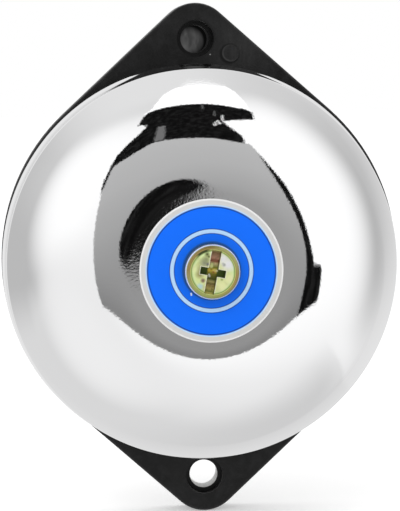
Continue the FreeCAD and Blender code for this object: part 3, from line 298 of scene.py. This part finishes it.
def insulation(name, colour):
    """Soft extruded covering, slightly waxy, with a fine grain."""
    material, shader = finish(name, colour, 0.45)
    where = place(material)
    waxy = grain(material, where, 0.8, 3.0)
    dark = tuple(c * 0.8 for c in colour)
    tinted(material, shader, waxy, dark, colour, (0.38, 0.55))
    relief(material, shader, grain(material, where, 0.12), 0.01)
    return material


dress(insulation("lead_red", (0.42, 0.02, 0.02)), "coil_lead_a")
dress(insulation("lead_black", (0.02, 0.02, 0.022)), "coil_lead_b")

# ---------------------------------------------------------------- terminals and inlet
# A brown moulded block, staked through the deck, holds two brass plates with clamp washers and
# slotted screws. The supply cable comes up beside it through a rubber grommet.

phenolic, shader = finish("phenolic", (0.07, 0.03, 0.018), 0.35)
where = place(phenolic)
marble = grain(phenolic, where, 1.4, 4.0)
tinted(phenolic, shader, marble, (0.045, 0.018, 0.011), (0.09, 0.04, 0.024), (0.28, 0.44))
relief(phenolic, shader, grain(phenolic, where, 0.2), 0.01)
dress(phenolic, "terminal_block")
dress(brass, "terminal_plates")
dress(bright_zinc, "terminal_washers", "terminal_screws")

rubber_black, shader = finish("rubber_black", (0.018, 0.018, 0.018), 0.72)
where = place(rubber_black)
bloom = grain(rubber_black, where, 1.0, 4.0)
tinted(rubber_black, shader, bloom, (0.013, 0.013, 0.013), (0.03, 0.03, 0.031), (0.62, 0.8))
relief(rubber_black, shader, grain(rubber_black, where, 0.14, 3.0), 0.02)
dress(rubber_black, "inlet_grommet", "stop_sleeve")

# ---------------------------------------------------------------- pins
# Ground steel pins stand in the deck: the pivot with its retaining ring, the back stop with its
# rubber sleeve, and the post that anchors the spring.

spring_steel, shader = finish("spring_steel", (0.50, 0.50, 0.52), 0.28, 1.0)
ground = grain(spring_steel, place(spring_steel, stretch=(1, 0.25, 1)), 0.1, 2.0)
tinted(spring_steel, shader, ground, (0.40, 0.40, 0.42), (0.56, 0.56, 0.58), (0.22, 0.36))
relief(spring_steel, shader, ground, 0.004)
dress(spring_steel, "pivot_pin", "pivot_clip", "stop_pin", "spring_post")

# ---------------------------------------------------------------- lever and striker
# The lever turns on the pivot with the soft-iron armature riveted to it. Its stub holds the wire
# rod with the brass ball, and a tension spring draws its arm back.

dress(bright_zinc, "striker_lever")
dress(soft_iron, "armature", "armature_rivets")
dress(spring_steel, "striker_rod")
dress(brass, "striker_ball")


def as_mesh(bm, name, material):
    """Writes a finished form into a mesh, with its finish."""
    mesh = bpy.data.meshes.new(name)
    bm.to_mesh(mesh)
    bm.free()
    mesh.materials.append(material)
    return mesh


def put(name, data):
    """A new object in the scene, at the origin."""
    thing = bpy.data.objects.new(name, data)
    bpy.context.scene.collection.objects.link(thing)
    return thing


bm = bmesh.new()
bm.from_mesh(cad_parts["return_spring"].data)
bmesh.ops.remove_doubles(bm, verts=bm.verts, dist=1e-6)
mesh = as_mesh(bm, "drawn_spring", spring_steel)
mesh.shade_smooth()
spring = put("drawn_spring", mesh)
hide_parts("return_spring")
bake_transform(spring)

# ---------------------------------------------------------------- gong
# A dome pressed from 1 mm steel, polished and chromed, with a lip that turns out a little at
# the rim. Its hole is off centre, so that turning it sets the gap to the striker ball.


def arc(bm, vert, centre, degrees, steps):
    """Carries the end of a profile round a centre in the x-z plane, and returns the new end."""
    swept = bmesh.ops.spin(
        bm,
        geom=[vert],
        cent=(centre[0], 0, centre[1]),
        axis=(0, 1, 0),
        angle=math.radians(degrees),
        steps=steps,
    )
    return [v for v in swept["geom_last"] if isinstance(v, bmesh.types.BMVert)][0]


def run(bm, vert, right, up):
    """Carries the end of a profile along a straight line, and returns the new end."""
    drawn = bmesh.ops.extrude_vert_indiv(bm, verts=[vert])
    bmesh.ops.translate(bm, verts=drawn["verts"], vec=(right, 0, up))
    return drawn["verts"][0]


def turned(bm, steps):
    """Turns a whole profile round the z axis."""
    geom = list(bm.verts) + list(bm.edges)
    bmesh.ops.spin(
        bm,
        geom=geom,
        cent=(0, 0, 0),
        axis=(0, 0, 1),
        angle=2 * math.pi,
        steps=steps,
        use_merge=True,
    )
    bmesh.ops.remove_doubles(bm, verts=bm.verts, dist=1e-5)


def stand(bm, name, material, body, *nodes):
    """Stands a finished piece on the wall, with its finish, its body and the nodes it stands for."""
    bmesh.ops.recalc_face_normals(bm, faces=bm.faces)
    bmesh.ops.transform(bm, matrix=ON_THE_WALL, verts=bm.verts)
    mesh = as_mesh(bm, name, material)
    mesh.shade_smooth()
    mesh.set_sharp_from_angle(angle=math.radians(SHARP_EDGE))
    piece = put(name, mesh)
    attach(piece, body)
    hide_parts(*nodes)
    return piece


SHARP_EDGE = 35
GONG_TOP, SHEET, GONG_HOLE = 27.5, 1.0, 2.6
KNUCKLE, SLOPE, FLANK_WIDTH = 16.0, 62.0, 2.15
SHOULDER, SKIRT = 1.5, 27.05
FLARE_FOOT, LIP, LIP_UP = 11.54, 27.13, 8.7
GONG_CENTRE = (-0.256, -0.136)

across, along = math.sin(math.radians(SLOPE)), math.cos(math.radians(SLOPE))
seat = SKIRT - SHOULDER - FLANK_WIDTH - (KNUCKLE - SHOULDER) * across
flank_drop = FLANK_WIDTH * across / along
shoulder_up = GONG_TOP - KNUCKLE + (KNUCKLE - SHOULDER) * along - flank_drop
flare_drop, flare_step = FLARE_FOOT - LIP_UP, LIP + SHEET / 2 - SKIRT
flare = (flare_drop**2 + flare_step**2) / (2 * flare_step) - SHEET / 2
flare_turn = math.degrees(math.asin(flare_drop / (flare + SHEET / 2)))

bm = bmesh.new()
end = bm.verts.new((GONG_HOLE, 0, GONG_TOP))
end = run(bm, end, seat - GONG_HOLE, 0)
end = arc(bm, end, (seat, GONG_TOP - KNUCKLE), SLOPE, 40)
end = run(bm, end, FLANK_WIDTH, -flank_drop)
end = arc(bm, end, (SKIRT - SHOULDER, shoulder_up), 90 - SLOPE, 10)
end = run(bm, end, 0, FLARE_FOOT - shoulder_up)
end = arc(bm, end, (SKIRT + flare, FLARE_FOOT), -flare_turn, 10)
end = arc(bm, end, (LIP, LIP_UP), 180, 10)
end = arc(bm, end, (SKIRT + flare, FLARE_FOOT), flare_turn, 6)
end = run(bm, end, 0, shoulder_up - FLARE_FOOT)
end = arc(bm, end, (SKIRT - SHOULDER, shoulder_up), SLOPE - 90, 6)
end = run(bm, end, -FLANK_WIDTH, flank_drop)
end = arc(bm, end, (seat, GONG_TOP - KNUCKLE), -SLOPE, 20)
end = run(bm, end, GONG_HOLE - seat, 0)
run(bm, end, 0, SHEET)
bmesh.ops.remove_doubles(bm, verts=bm.verts, dist=1e-5)
turned(bm, 240)
bmesh.ops.translate(bm, verts=bm.verts, vec=(*GONG_CENTRE, 0))

chrome, shader = finish("chrome_plate", (0.93, 0.93, 0.935), 0.03, 1.0)
where = place(chrome)
relief(chrome, shader, grain(chrome, where, 0.3, 4.0), 0.003)
gong = stand(bm, "dome_gong", chrome, "frame", "gong")

fibre, shader = finish("fibre", (0.36, 0.06, 0.035), 0.6)
where = place(fibre)
felt = grain(fibre, where, 0.3, 4.0)
tinted(fibre, shader, felt, (0.26, 0.04, 0.025), (0.42, 0.08, 0.045))
relief(fibre, shader, felt, 0.02)
dress(fibre, "gong_seat_washer")

# ---------------------------------------------------------------- label
# A disc stamped from thin aluminium and printed blue, with a pale ring round the screw. The
# border is left bare, and the press has rolled the cut edge down a little.

LABEL_RADIUS, LABEL_THICKNESS, LABEL_HOLE = 9.6, 0.2, 2.15
ROLLED, CUT_EDGE, PRINT_SPAN = 0.15, 0.05, 10.0

bm = bmesh.new()
end = bm.verts.new((LABEL_HOLE, 0, GONG_TOP))
end = run(bm, end, 0, LABEL_THICKNESS)
end = run(bm, end, LABEL_RADIUS - ROLLED - LABEL_HOLE, 0)
end = arc(bm, end, (LABEL_RADIUS - ROLLED, GONG_TOP + CUT_EDGE), 90, 6)
end = run(bm, end, 0, -CUT_EDGE)
run(bm, end, LABEL_HOLE - LABEL_RADIUS, 0)
bmesh.ops.remove_doubles(bm, verts=bm.verts, dist=1e-5)
turned(bm, 192)

label_print, shader = finish("label_print", (0.02, 0.2, 0.9), 0.35)
shader.inputs["Specular IOR Level"].default_value = 0.15
where = place(label_print, stretch=(1, 0, 1))
reach = add(label_print, "VectorMath", {0: where}, operation="LENGTH").outputs["Value"]
share = worked(label_print, "DIVIDE", reach, PRINT_SPAN)
BLUE, INK, PALE = (0.001, 0.155, 0.97), (0.002, 0.06, 0.36), (0.48, 0.70, 0.98)
# The blue under the screw head and in a thin ring round it is darkened: painted shadow.
SCREW_SHADOW = (0.02, 0.10, 0.36)
# The rolled edge is lighter than the bare border: a painted highlight.
SILVER, EDGE_HIGHLIGHT = (0.62, 0.62, 0.615), (0.82, 0.82, 0.82)
printed = tones(
    label_print,
    share,
    (0.0, SCREW_SHADOW),
    (0.384, SCREW_SHADOW),
    (0.402, BLUE),
    (0.490, BLUE),
    (0.496, INK),
    (0.501, INK),
    (0.507, PALE),
    (0.550, PALE),
    (0.556, INK),
    (0.562, INK),
    (0.568, BLUE),
    (0.838, BLUE),
    (0.847, INK),
    (0.859, INK),
    (0.867, PALE),
    (0.876, PALE),
    (0.884, SILVER),
    (0.934, SILVER),
    (0.942, EDGE_HIGHLIGHT),
)
# Two small pale specks left of and below the screw are painted glints.
for centre, radius in (((-2.79, -2.95), 0.11), ((-2.76, -3.12), 0.10)):
    painted_glint = spot(label_print, where, centre, radius, 0.05)
    printed = over(label_print, painted_glint, printed, (0.8, 0.9, 1.0))
feed(label_print, shader, "Base Color", printed)
relief(label_print, shader, grain(label_print, place(label_print), 0.4), 0.002)
label = stand(bm, "round_label", label_print, "frame", "gong_label")

# ---------------------------------------------------------------- gong screw
# A pan-head machine screw in yellow passivated zinc, with a slot across its crown and a cross
# recess in the middle, holds the label and the gong down on the pillar.

SLOT_HALF, ARM_HALF, ARM_REACH, HEAD_TOP = 0.65, 0.5, 1.7, 30.1
SLOT_TURN, CROWN_SPAN = 11.6, 4.0

yellow_zinc, shader = finish("yellow_zinc", (0.55, 0.60, 0.28), 0.3, 0.45)
where = place(yellow_zinc)
square = place(yellow_zinc, turn=(0, math.radians(-SLOT_TURN), 0))
axes = add(yellow_zinc, "SeparateXYZ", {"Vector": square}).outputs
sides = [worked(yellow_zinc, "ABSOLUTE", axes[key]) for key in ("X", "Z")]


def joined(operation, first, second):
    """Joins two patterns of the screw's finish."""
    return worked(yellow_zinc, operation, first, second)


def band(value, rise, fall):
    """One between two soft edges, each given by its start and its end."""
    up = spread(yellow_zinc, value, 0.0, 1.0, *rise)
    return joined("MULTIPLY", up, spread(yellow_zinc, value, 1.0, 0.0, *fall))


slot_edge = joined("SUBTRACT", sides[0], SLOT_HALF)
arm_side, arm_end = joined("SUBTRACT", sides[1], ARM_HALF), joined("SUBTRACT", sides[0], ARM_REACH)
recess_edge = joined("MINIMUM", slot_edge, joined("MAXIMUM", arm_side, arm_end))
depth = joined("ADD", axes["Y"], HEAD_TOP)
flat = add(yellow_zinc, "VectorMath", {0: where, 1: (1, 0, 1)}, operation="MULTIPLY").outputs["Vector"]
reach = add(yellow_zinc, "VectorMath", {0: flat}, operation="LENGTH").outputs["Value"]
cloud = grain(yellow_zinc, where, 1.1, 3.0)

crown = tones(
    yellow_zinc,
    joined("DIVIDE", reach, CROWN_SPAN),
    (0.45, (0.86, 0.92, 0.42)),
    (0.60, (0.84, 0.96, 0.42)),
    (0.66, (0.86, 1.0, 0.52)),
    (0.70, (0.50, 0.68, 0.24)),
    (0.72, (0.22, 0.34, 0.07)),
    (0.745, (0.70, 0.74, 0.26)),
    (0.775, (0.30, 0.20, 0.06)),
    (0.805, (0.40, 0.30, 0.10)),
    (0.83, (0.22, 0.12, 0.04)),
    (0.855, (0.34, 0.32, 0.12)),
    (0.87, (0.16, 0.15, 0.06)),
    (0.885, (0.60, 0.62, 0.28)),
)
level = add(yellow_zinc, "SeparateXYZ", {"Vector": where}).outputs
on_crown = spread(yellow_zinc, reach, 1.0, 0.0, 2.72, 2.86)
on_ring = band(reach, (2.95, 3.05), (3.42, 3.5))
olive = spread(yellow_zinc, joined("MULTIPLY", level["X"], level["Z"]), 0.0, 0.5, -1.0, 4.0)
crown = over(yellow_zinc, joined("MULTIPLY", olive, on_ring), crown, (0.36, 0.46, 0.16))
below = spread(yellow_zinc, level["Z"], 0.7, 0.0, -3.6, -1.4)
crown = over(yellow_zinc, joined("MULTIPLY", below, on_ring), crown, (0.30, 0.38, 0.10))
clouded = joined("MULTIPLY", spread(yellow_zinc, cloud, 0.0, 0.55, 0.5, 0.62), on_crown)
crown = over(yellow_zinc, clouded, crown, (0.62, 0.60, 0.26))

# Glints, flecks and shade of the head are painted spots: centre, radius, soft edge and colour.
patches = (
    ((2.05, 1.0), 0.75, 0.45, (1.0, 1.0, 1.0)),
    ((1.35, 1.75), 0.55, 0.35, (1.0, 1.0, 0.98)),
    ((2.2, -0.9), 0.55, 0.35, (1.0, 1.0, 0.55)),
    ((1.15, -1.9), 0.6, 0.4, (0.98, 1.0, 0.52)),
    ((-2.35, 0.5), 0.42, 0.3, (0.92, 1.0, 0.50)),
    ((-1.75, -0.2), 0.42, 0.3, (0.40, 0.36, 0.14)),
    ((-1.6, 0.45), 0.35, 0.3, (0.42, 0.42, 0.18)),
    ((-1.1, 1.25), 0.48, 0.4, (0.34, 0.36, 0.24)),
    ((-0.68, 1.1), 0.2, 0.12, (0.20, 0.20, 0.20)),
    ((-0.85, 1.75), 0.34, 0.34, (0.34, 0.38, 0.18)),
    ((-0.72, 2.42), 0.24, 0.2, (0.10, 0.12, 0.03)),
    ((-0.5, 2.1), 0.14, 0.1, (0.16, 0.18, 0.05)),
    ((1.5, 0.95), 0.17, 0.12, (0.46, 0.48, 0.44)),
    ((1.36, 1.12), 0.12, 0.1, (0.60, 0.62, 0.58)),
    ((-1.35, -1.05), 0.26, 0.14, (0.30, 0.20, 0.14)),
    ((-1.75, -1.8), 0.34, 0.2, (0.58, 0.80, 0.80)),
    ((1.15, -0.95), 0.16, 0.12, (0.40, 0.48, 0.14)),
)
for centre, radius, soft, tone in patches:
    share = joined("MULTIPLY", spot(yellow_zinc, where, centre, radius, soft), on_crown)
    crown = over(yellow_zinc, share, crown, tone)
shadow = spot(yellow_zinc, where, (-1.25, 2.6), 0.85, 0.3)
shadow = joined("MULTIPLY", shadow, band(reach, (2.78, 2.86), (3.08, 3.16)))
crown = over(yellow_zinc, shadow, crown, (0.07, 0.09, 0.03))
# A painted highlight along the edges of the slot and the cross recess.
recess_edge_highlight = joined("MULTIPLY", spread(yellow_zinc, recess_edge, 0.9, 0.0, 0.05, 0.12), on_crown)
crown = over(yellow_zinc, recess_edge_highlight, crown, (1.0, 1.0, 0.78))
# Down in the slot and cross recess: the passivate's reddish and olive tints, with bright bands and a
# gold centre that are painted glints.
along = spread(yellow_zinc, axes["Z"], 0.0, 1.0, -3.0, 3.0)
recess_floor_tints_and_glints = tones(
    yellow_zinc,
    along,
    (0.02, (0.90, 0.80, 0.26)),
    (0.06, (0.30, 0.33, 0.07)),
    (0.12, (0.62, 0.50, 0.16)),
    (0.20, (0.34, 0.24, 0.08)),
    (0.27, (0.70, 0.62, 0.24)),
    (0.33, (0.10, 0.12, 0.02)),
    (0.45, (0.30, 0.26, 0.03)),
    (0.52, (1.0, 0.75, 0.10)),
    (0.60, (0.25, 0.28, 0.03)),
    (0.68, (0.95, 0.80, 0.40)),
    (0.73, (0.50, 0.17, 0.10)),
    (0.82, (0.60, 0.33, 0.22)),
    (0.93, (0.34, 0.20, 0.10)),
    (0.98, (0.60, 0.55, 0.22)),
)
fleck = grain(yellow_zinc, place(yellow_zinc, centre=(0, -29, 0)), 0.28, 3.0)
dark_fleck = spread(yellow_zinc, fleck, 0.0, 0.6, 0.5, 0.75)
recess_floor_tints_and_glints = over(yellow_zinc, dark_fleck, recess_floor_tints_and_glints, (0.07, 0.09, 0.01))
on_arms = spread(yellow_zinc, slot_edge, 0.0, 1.0, -0.12, 0.05)
recess_floor_tints_and_glints = over(yellow_zinc, on_arms, recess_floor_tints_and_glints, (0.09, 0.14, 0.02))
# A thin painted highlight runs round the rim of the head.
rim = band(depth, (0.25, 0.32), (0.62, 0.7))
rim = joined("MULTIPLY", rim, spread(yellow_zinc, reach, 0.0, 1.0, 3.46, 3.54))
crown = over(yellow_zinc, rim, crown, (1.0, 1.0, 1.0))
# The lower part of the head's side is painted dark: painted shade.
side = spread(yellow_zinc, depth, 0.0, 1.0, 0.66, 0.8)
crown = over(yellow_zinc, side, crown, (0.17, 0.19, 0.06))
sunk = spread(yellow_zinc, depth, 0.0, 1.0, 0.05, 0.2)
inside = spread(yellow_zinc, recess_edge, 1.0, 0.0, -0.02, 0.03)
inside = joined("MULTIPLY", inside, spread(yellow_zinc, reach, 1.0, 0.0, 2.9, 2.98))
crown = over(yellow_zinc, joined("MULTIPLY", sunk, inside), crown, recess_floor_tints_and_glints)
# Painted glints deep in the recess, and one small reddish-brown spot.
for centre, radius, tone in (
    ((0.30, 0.12), 0.22, (1.0, 0.80, 0.22)),
    ((0.62, 0.06), 0.14, (1.0, 0.93, 0.55)),
    ((-0.42, -0.42), 0.12, (1.0, 1.0, 0.92)),
    ((-0.36, -0.62), 0.12, (1.0, 1.0, 0.92)),
    ((-0.08, 0.72), 0.24, (0.95, 1.0, 0.42)),
    ((0.02, 0.98), 0.16, (0.88, 0.95, 0.40)),
    ((0.18, -0.12), 0.12, (0.50, 0.18, 0.04)),
):
    crown = over(yellow_zinc, spot(yellow_zinc, where, centre, radius, 0.08), crown, tone)
feed(yellow_zinc, shader, "Base Color", crown)
relief(yellow_zinc, shader, grain(yellow_zinc, where, 0.2, 3.0), 0.008)
dress(yellow_zinc, "gong_screw")

# ---------------------------------------------------------------- floor, room and camera
# The bell stands on its lower ear on a plain pale floor, in a white light tent. Polished metal
# sees the tent in softly uneven zones, with cards in front of it that nothing else sees.


def away(right, up, distance):
    """The point that lies that many degrees right and up of the bell's own axis."""
    tilt = math.hypot(right, up)
    side = math.sin(math.radians(tilt)) / max(tilt, 1e-6)
    return Vector((side * right, -math.cos(math.radians(tilt)), side * up)) * distance


def only_mirrored(thing):
    """Leaves a stage piece to be seen by polished metal alone."""
    thing.visible_camera = thing.visible_diffuse = thing.visible_shadow = False


def card(name, distance, material, corners):
    """A plain card or body that only polished metal reflects. Its corners are in degrees."""
    bm = bmesh.new()
    bm.faces.new([bm.verts.new(away(right, up, distance)) for right, up in corners])
    bmesh.ops.triangulate(bm, faces=bm.faces)
    only_mirrored(put(name, as_mesh(bm, name, material)))


def bare(name):
    """A stage material with no nodes yet."""
    material = bpy.data.materials.new(name)
    material.use_nodes = True
    material.node_tree.nodes.clear()
    return material


def glowing(name, grey=None):
    """A stage material that shines in that grey, or in the colour that is fed to it later."""
    material = bare(name)
    glow = add(material, "Emission", {"Strength": 1.0})
    add(material, "OutputMaterial", {"Surface": glow.outputs["Emission"]})
    if grey:
        glow.inputs["Color"].default_value = (grey, grey, grey, 1)
    return material, glow


white_sheet, _ = glowing("white_sheet", 1.2)
grey_slit, _ = glowing("grey_slit", 0.17)
black_body, glow = glowing("black_body")
streaks = grain(black_body, place(black_body, stretch=(0.001, 0.001, 0.0003)), 0.22, 4.0)
streaks = tones(black_body, streaks, (0.45, (0.004, 0.004, 0.004)), (0.75, (0.022, 0.022, 0.022)))
feed(black_body, glow, "Color", streaks)
grey_screen, glow = glowing("grey_screen")
held = add(grey_screen, "TexCoord").outputs["Object"]
height = add(grey_screen, "SeparateXYZ", {"Vector": held}).outputs["Z"]
screen = tones(
    grey_screen,
    spread(grey_screen, height, 0.0, 1.0, -2.6, 7.4),
    (0.05, (0.25, 0.25, 0.25)),
    (0.18, (0.32, 0.32, 0.32)),
    (0.36, (0.40, 0.40, 0.40)),
    (0.62, (0.475, 0.475, 0.475)),
    (1.0, (0.52, 0.52, 0.52)),
)
feed(grey_screen, glow, "Color", screen)

card("patch", 12.0, white_sheet, [
    (-30, 88), (-25.5, 93), (-23, 100), (-19, 110), (-14, 117), (-8, 121), (0, 122.5), (15, 122),
    (28, 119.5), (31.5, 112), (33, 103), (34, 92), (34, 84), (0, 88),
])
card("opening", 10.0, grey_screen, [
    (-28, -14.5), (-10, -15.2), (8, -14.2), (22.5, -14.5), (24, 0), (25, 20), (25, 42), (23.5, 48),
    (20, 52), (-15, 58), (-27, 55), (-38, 46), (-40, 38), (-40, 28), (-38.5, 20), (-36, 10),
    (-33.5, 0), (-30.5, -9),
])
card("camera_top", 7.0, black_body, [
    (-32, 75.5), (-30, 85), (-27, 89.5), (-20, 91.5), (-5, 92.5), (10, 91.5), (17, 90), (25, 87.5),
    (31, 86.5), (34.5, 84), (34, 79), (33, 75), (27, 73.5), (20, 71.5), (14, 69.5), (-26, 70),
    (-27, 74.5), (-29.5, 76),
])
card("camera_middle", 6.8, black_body, [
    (-26.5, 71.5), (-29, 67), (-35, 59), (-38.5, 53), (-36, 47), (-33, 46.6), (-30, 48),
    (-26, 50.2), (-22.5, 52.3), (-20, 53.6), (-15, 54.1), (-8, 53.1), (0, 51.8), (8, 50.8),
    (14, 49), (20, 47.6), (21.8, 51), (21.2, 56), (18.5, 61), (15.8, 66), (14, 71.5),
])
card("camera_cheek", 6.7, black_body, [
    (-41.7, 36), (-41.3, 31), (-40.2, 28), (-39.9, 32), (-39.3, 37), (-38.6, 44.1), (-40.8, 44.1),
    (-41.3, 40),
])
card("camera_jaw", 6.6, black_body, [
    (-40.8, 44), (-38.1, 44), (-35, 46), (-33, 46.8), (-34, 51), (-38.5, 54), (-40.4, 47),
])
card("camera_grip", 6.6, black_body, [
    (24.9, 42), (26, 37), (27.2, 32), (28.3, 27), (29.4, 23), (29.9, 15), (30, 3), (31, -3.5),
    (38.3, -4), (38.6, -6), (38, -11), (37, -15), (22, -14.8), (21.5, -9), (23.5, -4), (24.5, 0),
    (25.2, 5), (25.4, 20), (25.2, 33),
])
card("camera_lens", 5.0, black_body, [
    (2.6, -4.4), (3.7, -3.1), (3.85, -2), (3.9, 0), (3.9, 4), (3.65, 6), (3.1, 8), (2.2, 10),
    (1, 11.8), (-0.5, 13.2), (-3, 14), (-6, 14), (-9, 12.4), (-10.7, 10.4), (-11.8, 8), (-12.2, 5),
    (-12, 2.4), (-10.9, 0), (-9.3, -1.8), (-7.5, -3), (-5, -3.8), (-2, -4.3), (1, -4.5),
])
card("slit", 5.4, grey_slit, [
    (-19.2, 54.8), (-14.4, 54.8), (-14.6, 63), (-15.4, 69.5), (-19.2, 69.5),
])
card("glint_a", 5.4, white_sheet, [(14.2, 70), (14.9, 70), (15.8, 77), (15.1, 77)])
card("glint_b", 5.4, white_sheet, [(9.6, 65), (10.3, 64.5), (10.8, 69), (10.1, 69.5)])
card("glint_c", 5.4, white_sheet, [(12, 66), (13, 67), (12.5, 71), (11.7, 70)])
card("glint_d", 5.4, grey_slit, [(5, 85), (5.8, 85), (6, 91), (5.2, 91)])
card("glint_e", 5.4, grey_slit, [(10.8, 76), (11.4, 76), (12, 82), (11.5, 82)])
card("glint_f", 5.4, white_sheet, [(22, 47.6), (22.9, 48.2), (22.4, 51), (21.7, 49.5)])

# A ring round the bell at the wall face that only polished metal sees. It glows, dimmer towards the
# bell as painted shade, and fades out at its outer edge.
BOARD_INNER, BOARD_OUTER, BOARD_BACK = 0.027, 0.048, 0.0005

bm = bmesh.new()
bmesh.ops.create_circle(bm, segments=96, radius=BOARD_INNER)
outer = bmesh.ops.extrude_edge_only(bm, edges=bm.edges)
rim = [v for v in outer["geom"] if isinstance(v, bmesh.types.BMVert)]
widen = BOARD_OUTER / BOARD_INNER
bmesh.ops.scale(bm, vec=(widen, widen, 1), verts=rim)
bmesh.ops.transform(bm, matrix=Matrix.Rotation(math.radians(90), 4, "X"), verts=bm.verts)
bmesh.ops.translate(bm, verts=bm.verts, vec=(0, BOARD_BACK, 0))
board = bare("board")
reach = add(board, "VectorMath", {0: place(board)}, operation="LENGTH").outputs["Value"]
fade = spread(board, reach, 1.0, 0.0, 38.0, 48.0)
level = spread(board, reach, 0.6, 0.86, 28.0, 35.0)
glow = add(board, "Emission", {"Strength": level}).outputs["Emission"]
clear = add(board, "BsdfTransparent").outputs["BSDF"]
mixed = add(board, "MixShader", {"Fac": fade, 1: clear, 2: glow}).outputs["Shader"]
add(board, "OutputMaterial", {"Surface": mixed})
only_mirrored(put("board", as_mesh(bm, "board", board)))

# A dark disc behind the upper screw hole glows dimly as painted shade there, with a painted pool of
# light in it. It is clear from behind.
SHADE_DISC_RADIUS, SHADE_DISC_UP, SHADE_DISC_BACK = 3.2, 31, -0.1

bm = bmesh.new()
bmesh.ops.create_circle(bm, cap_ends=True, segments=48, radius=SHADE_DISC_RADIUS)
bmesh.ops.translate(bm, verts=bm.verts, vec=(0, SHADE_DISC_UP, SHADE_DISC_BACK))
bmesh.ops.transform(bm, matrix=ON_THE_WALL, verts=bm.verts)
bmesh.ops.recalc_face_normals(bm, faces=bm.faces)
shade_disc = bare("shade_disc")
dim = grain(shade_disc, place(shade_disc, stretch=(1, 1, 0.35)), 0.9, 3.0)
dim = tones(shade_disc, dim, (0.35, (0.045, 0.045, 0.045)), (0.7, (0.10, 0.10, 0.10)))
lit = spot(shade_disc, place(shade_disc), (-0.45, 30.75), 1.62, 0.5)
dim = over(shade_disc, lit, (0.003, 0.003, 0.003), dim)
seen = add(shade_disc, "LightPath").outputs["Is Camera Ray"]
dim = over(shade_disc, seen, (0.06, 0.06, 0.06), dim)
glow = add(shade_disc, "Emission", {"Color": dim}).outputs["Emission"]
facing = add(shade_disc, "NewGeometry").outputs["Backfacing"]
clear = add(shade_disc, "BsdfTransparent").outputs["BSDF"]
shown = add(shade_disc, "MixShader", {"Fac": facing, 1: glow, 2: clear}).outputs["Shader"]
add(shade_disc, "OutputMaterial", {"Surface": shown})
put("shade_disc", as_mesh(bm, "shade_disc", shade_disc))

world = bpy.data.worlds.new("tent")
bpy.context.scene.world = world
world.use_nodes = True
world.node_tree.nodes.clear()
rays = add(world, "LightPath").outputs
mirrored = worked(world, "MAXIMUM", rays["Is Glossy Ray"], rays["Is Transmission Ray"])
toward = add(world, "TexCoord").outputs["Generated"]


def zone(shade, level, right, up, inner, outer):
    """Blends a round soft patch of the tent into the shade so far."""
    centre = away(right, up, 1)
    cosine = add(world, "VectorMath", {0: toward, 1: centre}, operation="DOT_PRODUCT").outputs["Value"]
    inputs = {
        "Value": cosine,
        "From Min": math.cos(math.radians(outer)),
        "From Max": math.cos(math.radians(inner)),
    }
    share = add(world, "MapRange", inputs, interpolation_type="SMOOTHSTEP").outputs["Result"]
    mixed = add(world, "Mix", {"Factor": share}, data_type="FLOAT")
    for key, value in (("A", shade), ("B", level)):
        if isinstance(value, float):
            mixed.inputs[key].default_value = value
        else:
            world.node_tree.links.new(value, mixed.inputs[key])
    return mixed.outputs["Result"]


# Brightness, degrees right and up, and the inner and outer edge of each soft zone of the tent.
# These numbers, and the seam's place, are the rounded result of a least-squares fit.
ZONES = (
    (0.52, -128, 8, 48, 158),
    (0.49, 100, 25, 1, 54),
    (0.73, -21, -84, 58, 73),
    (0.915, 25, -10, 1, 91),
    (1.09, -60, 41, 8, 58),
    (1.10, 34, 33, 26, 80),
    (0.91, -53, -37, 1, 48),
    (0.80, -30, 119, 1, 36),
)
tent = 1.10
for soft_zone in ZONES:
    tent = zone(tent, *soft_zone)

# A faint seam: the tent is a little darker on one side of it.
SEAM_SHADE = -0.11
below = zone(0.0, 1.0, -50, -67.5, 89, 91)
near = zone(0.0, 1.0, 77, -90, 5, 60)
seam = worked(world, "MULTIPLY_ADD", worked(world, "MULTIPLY", below, near), SEAM_SHADE, 1.0)
tent = worked(world, "MULTIPLY", tent, seam)
seen = add(world, "Background", {"Color": (1, 1, 1, 1), "Strength": 1.0}).outputs["Background"]
plain = add(world, "Background", {"Color": (1, 1, 1, 1), "Strength": 0.9}).outputs["Background"]
tented = add(world, "Background", {"Color": (1, 1, 1, 1), "Strength": tent}).outputs["Background"]
lit = add(world, "MixShader", {"Fac": mirrored, 1: plain, 2: tented}).outputs["Shader"]
shown = add(world, "MixShader", {"Fac": rays["Is Camera Ray"], 1: lit, 2: seen}).outputs["Shader"]
add(world, "OutputWorld", {"Surface": shown})

FLOOR_DROP, FLOOR_RADIUS, FLOOR_LIFT = 36.1, 3.0, 0.32

bm = bmesh.new()
bmesh.ops.create_circle(bm, cap_ends=True, segments=96, radius=FLOOR_RADIUS)
bmesh.ops.translate(bm, verts=bm.verts, vec=(0, 0, -FLOOR_DROP * MM))
pale_floor, shader = finish("pale_floor", (0.88, 0.88, 0.88), 0.9)
rays = add(pale_floor, "LightPath").outputs["Is Camera Ray"]
shader.inputs["Emission Color"].default_value = (1, 1, 1, 1)
feed(pale_floor, shader, "Emission Strength", worked(pale_floor, "MULTIPLY", rays, FLOOR_LIFT))
floor = put("floor", as_mesh(bm, "floor", pale_floor))
floor.visible_glossy = False

lamp = bpy.data.lights.new("soft_box", "AREA")
lamp.shape, lamp.size, lamp.size_y = "RECTANGLE", 0.6, 0.4
lamp.energy = 2.0
box = put("soft_box", lamp)
box.location = (-0.35, -0.6, 0.65)
box.rotation_euler = (-box.location).to_track_quat("-Z", "Y").to_euler()
box.visible_glossy = False

EYE, AIM, ROLL = Vector((-0.02440, -0.35772, 0.02704)), Vector((0.00041, 0, 0)), -1.193

camera = bpy.data.cameras.new("camera")
camera.lens, camera.sensor_width = 176.21, 36.0
viewer = put("camera", camera)
viewer.location = EYE
turn = (AIM - EYE).to_track_quat("-Z", "Y").to_matrix() @ Matrix.Rotation(math.radians(ROLL), 3, "Z")
viewer.rotation_euler = turn.to_euler()
bpy.context.scene.camera = viewer
bpy.context.scene.view_settings.view_transform = "Standard"

bpy.context.view_layer.update()
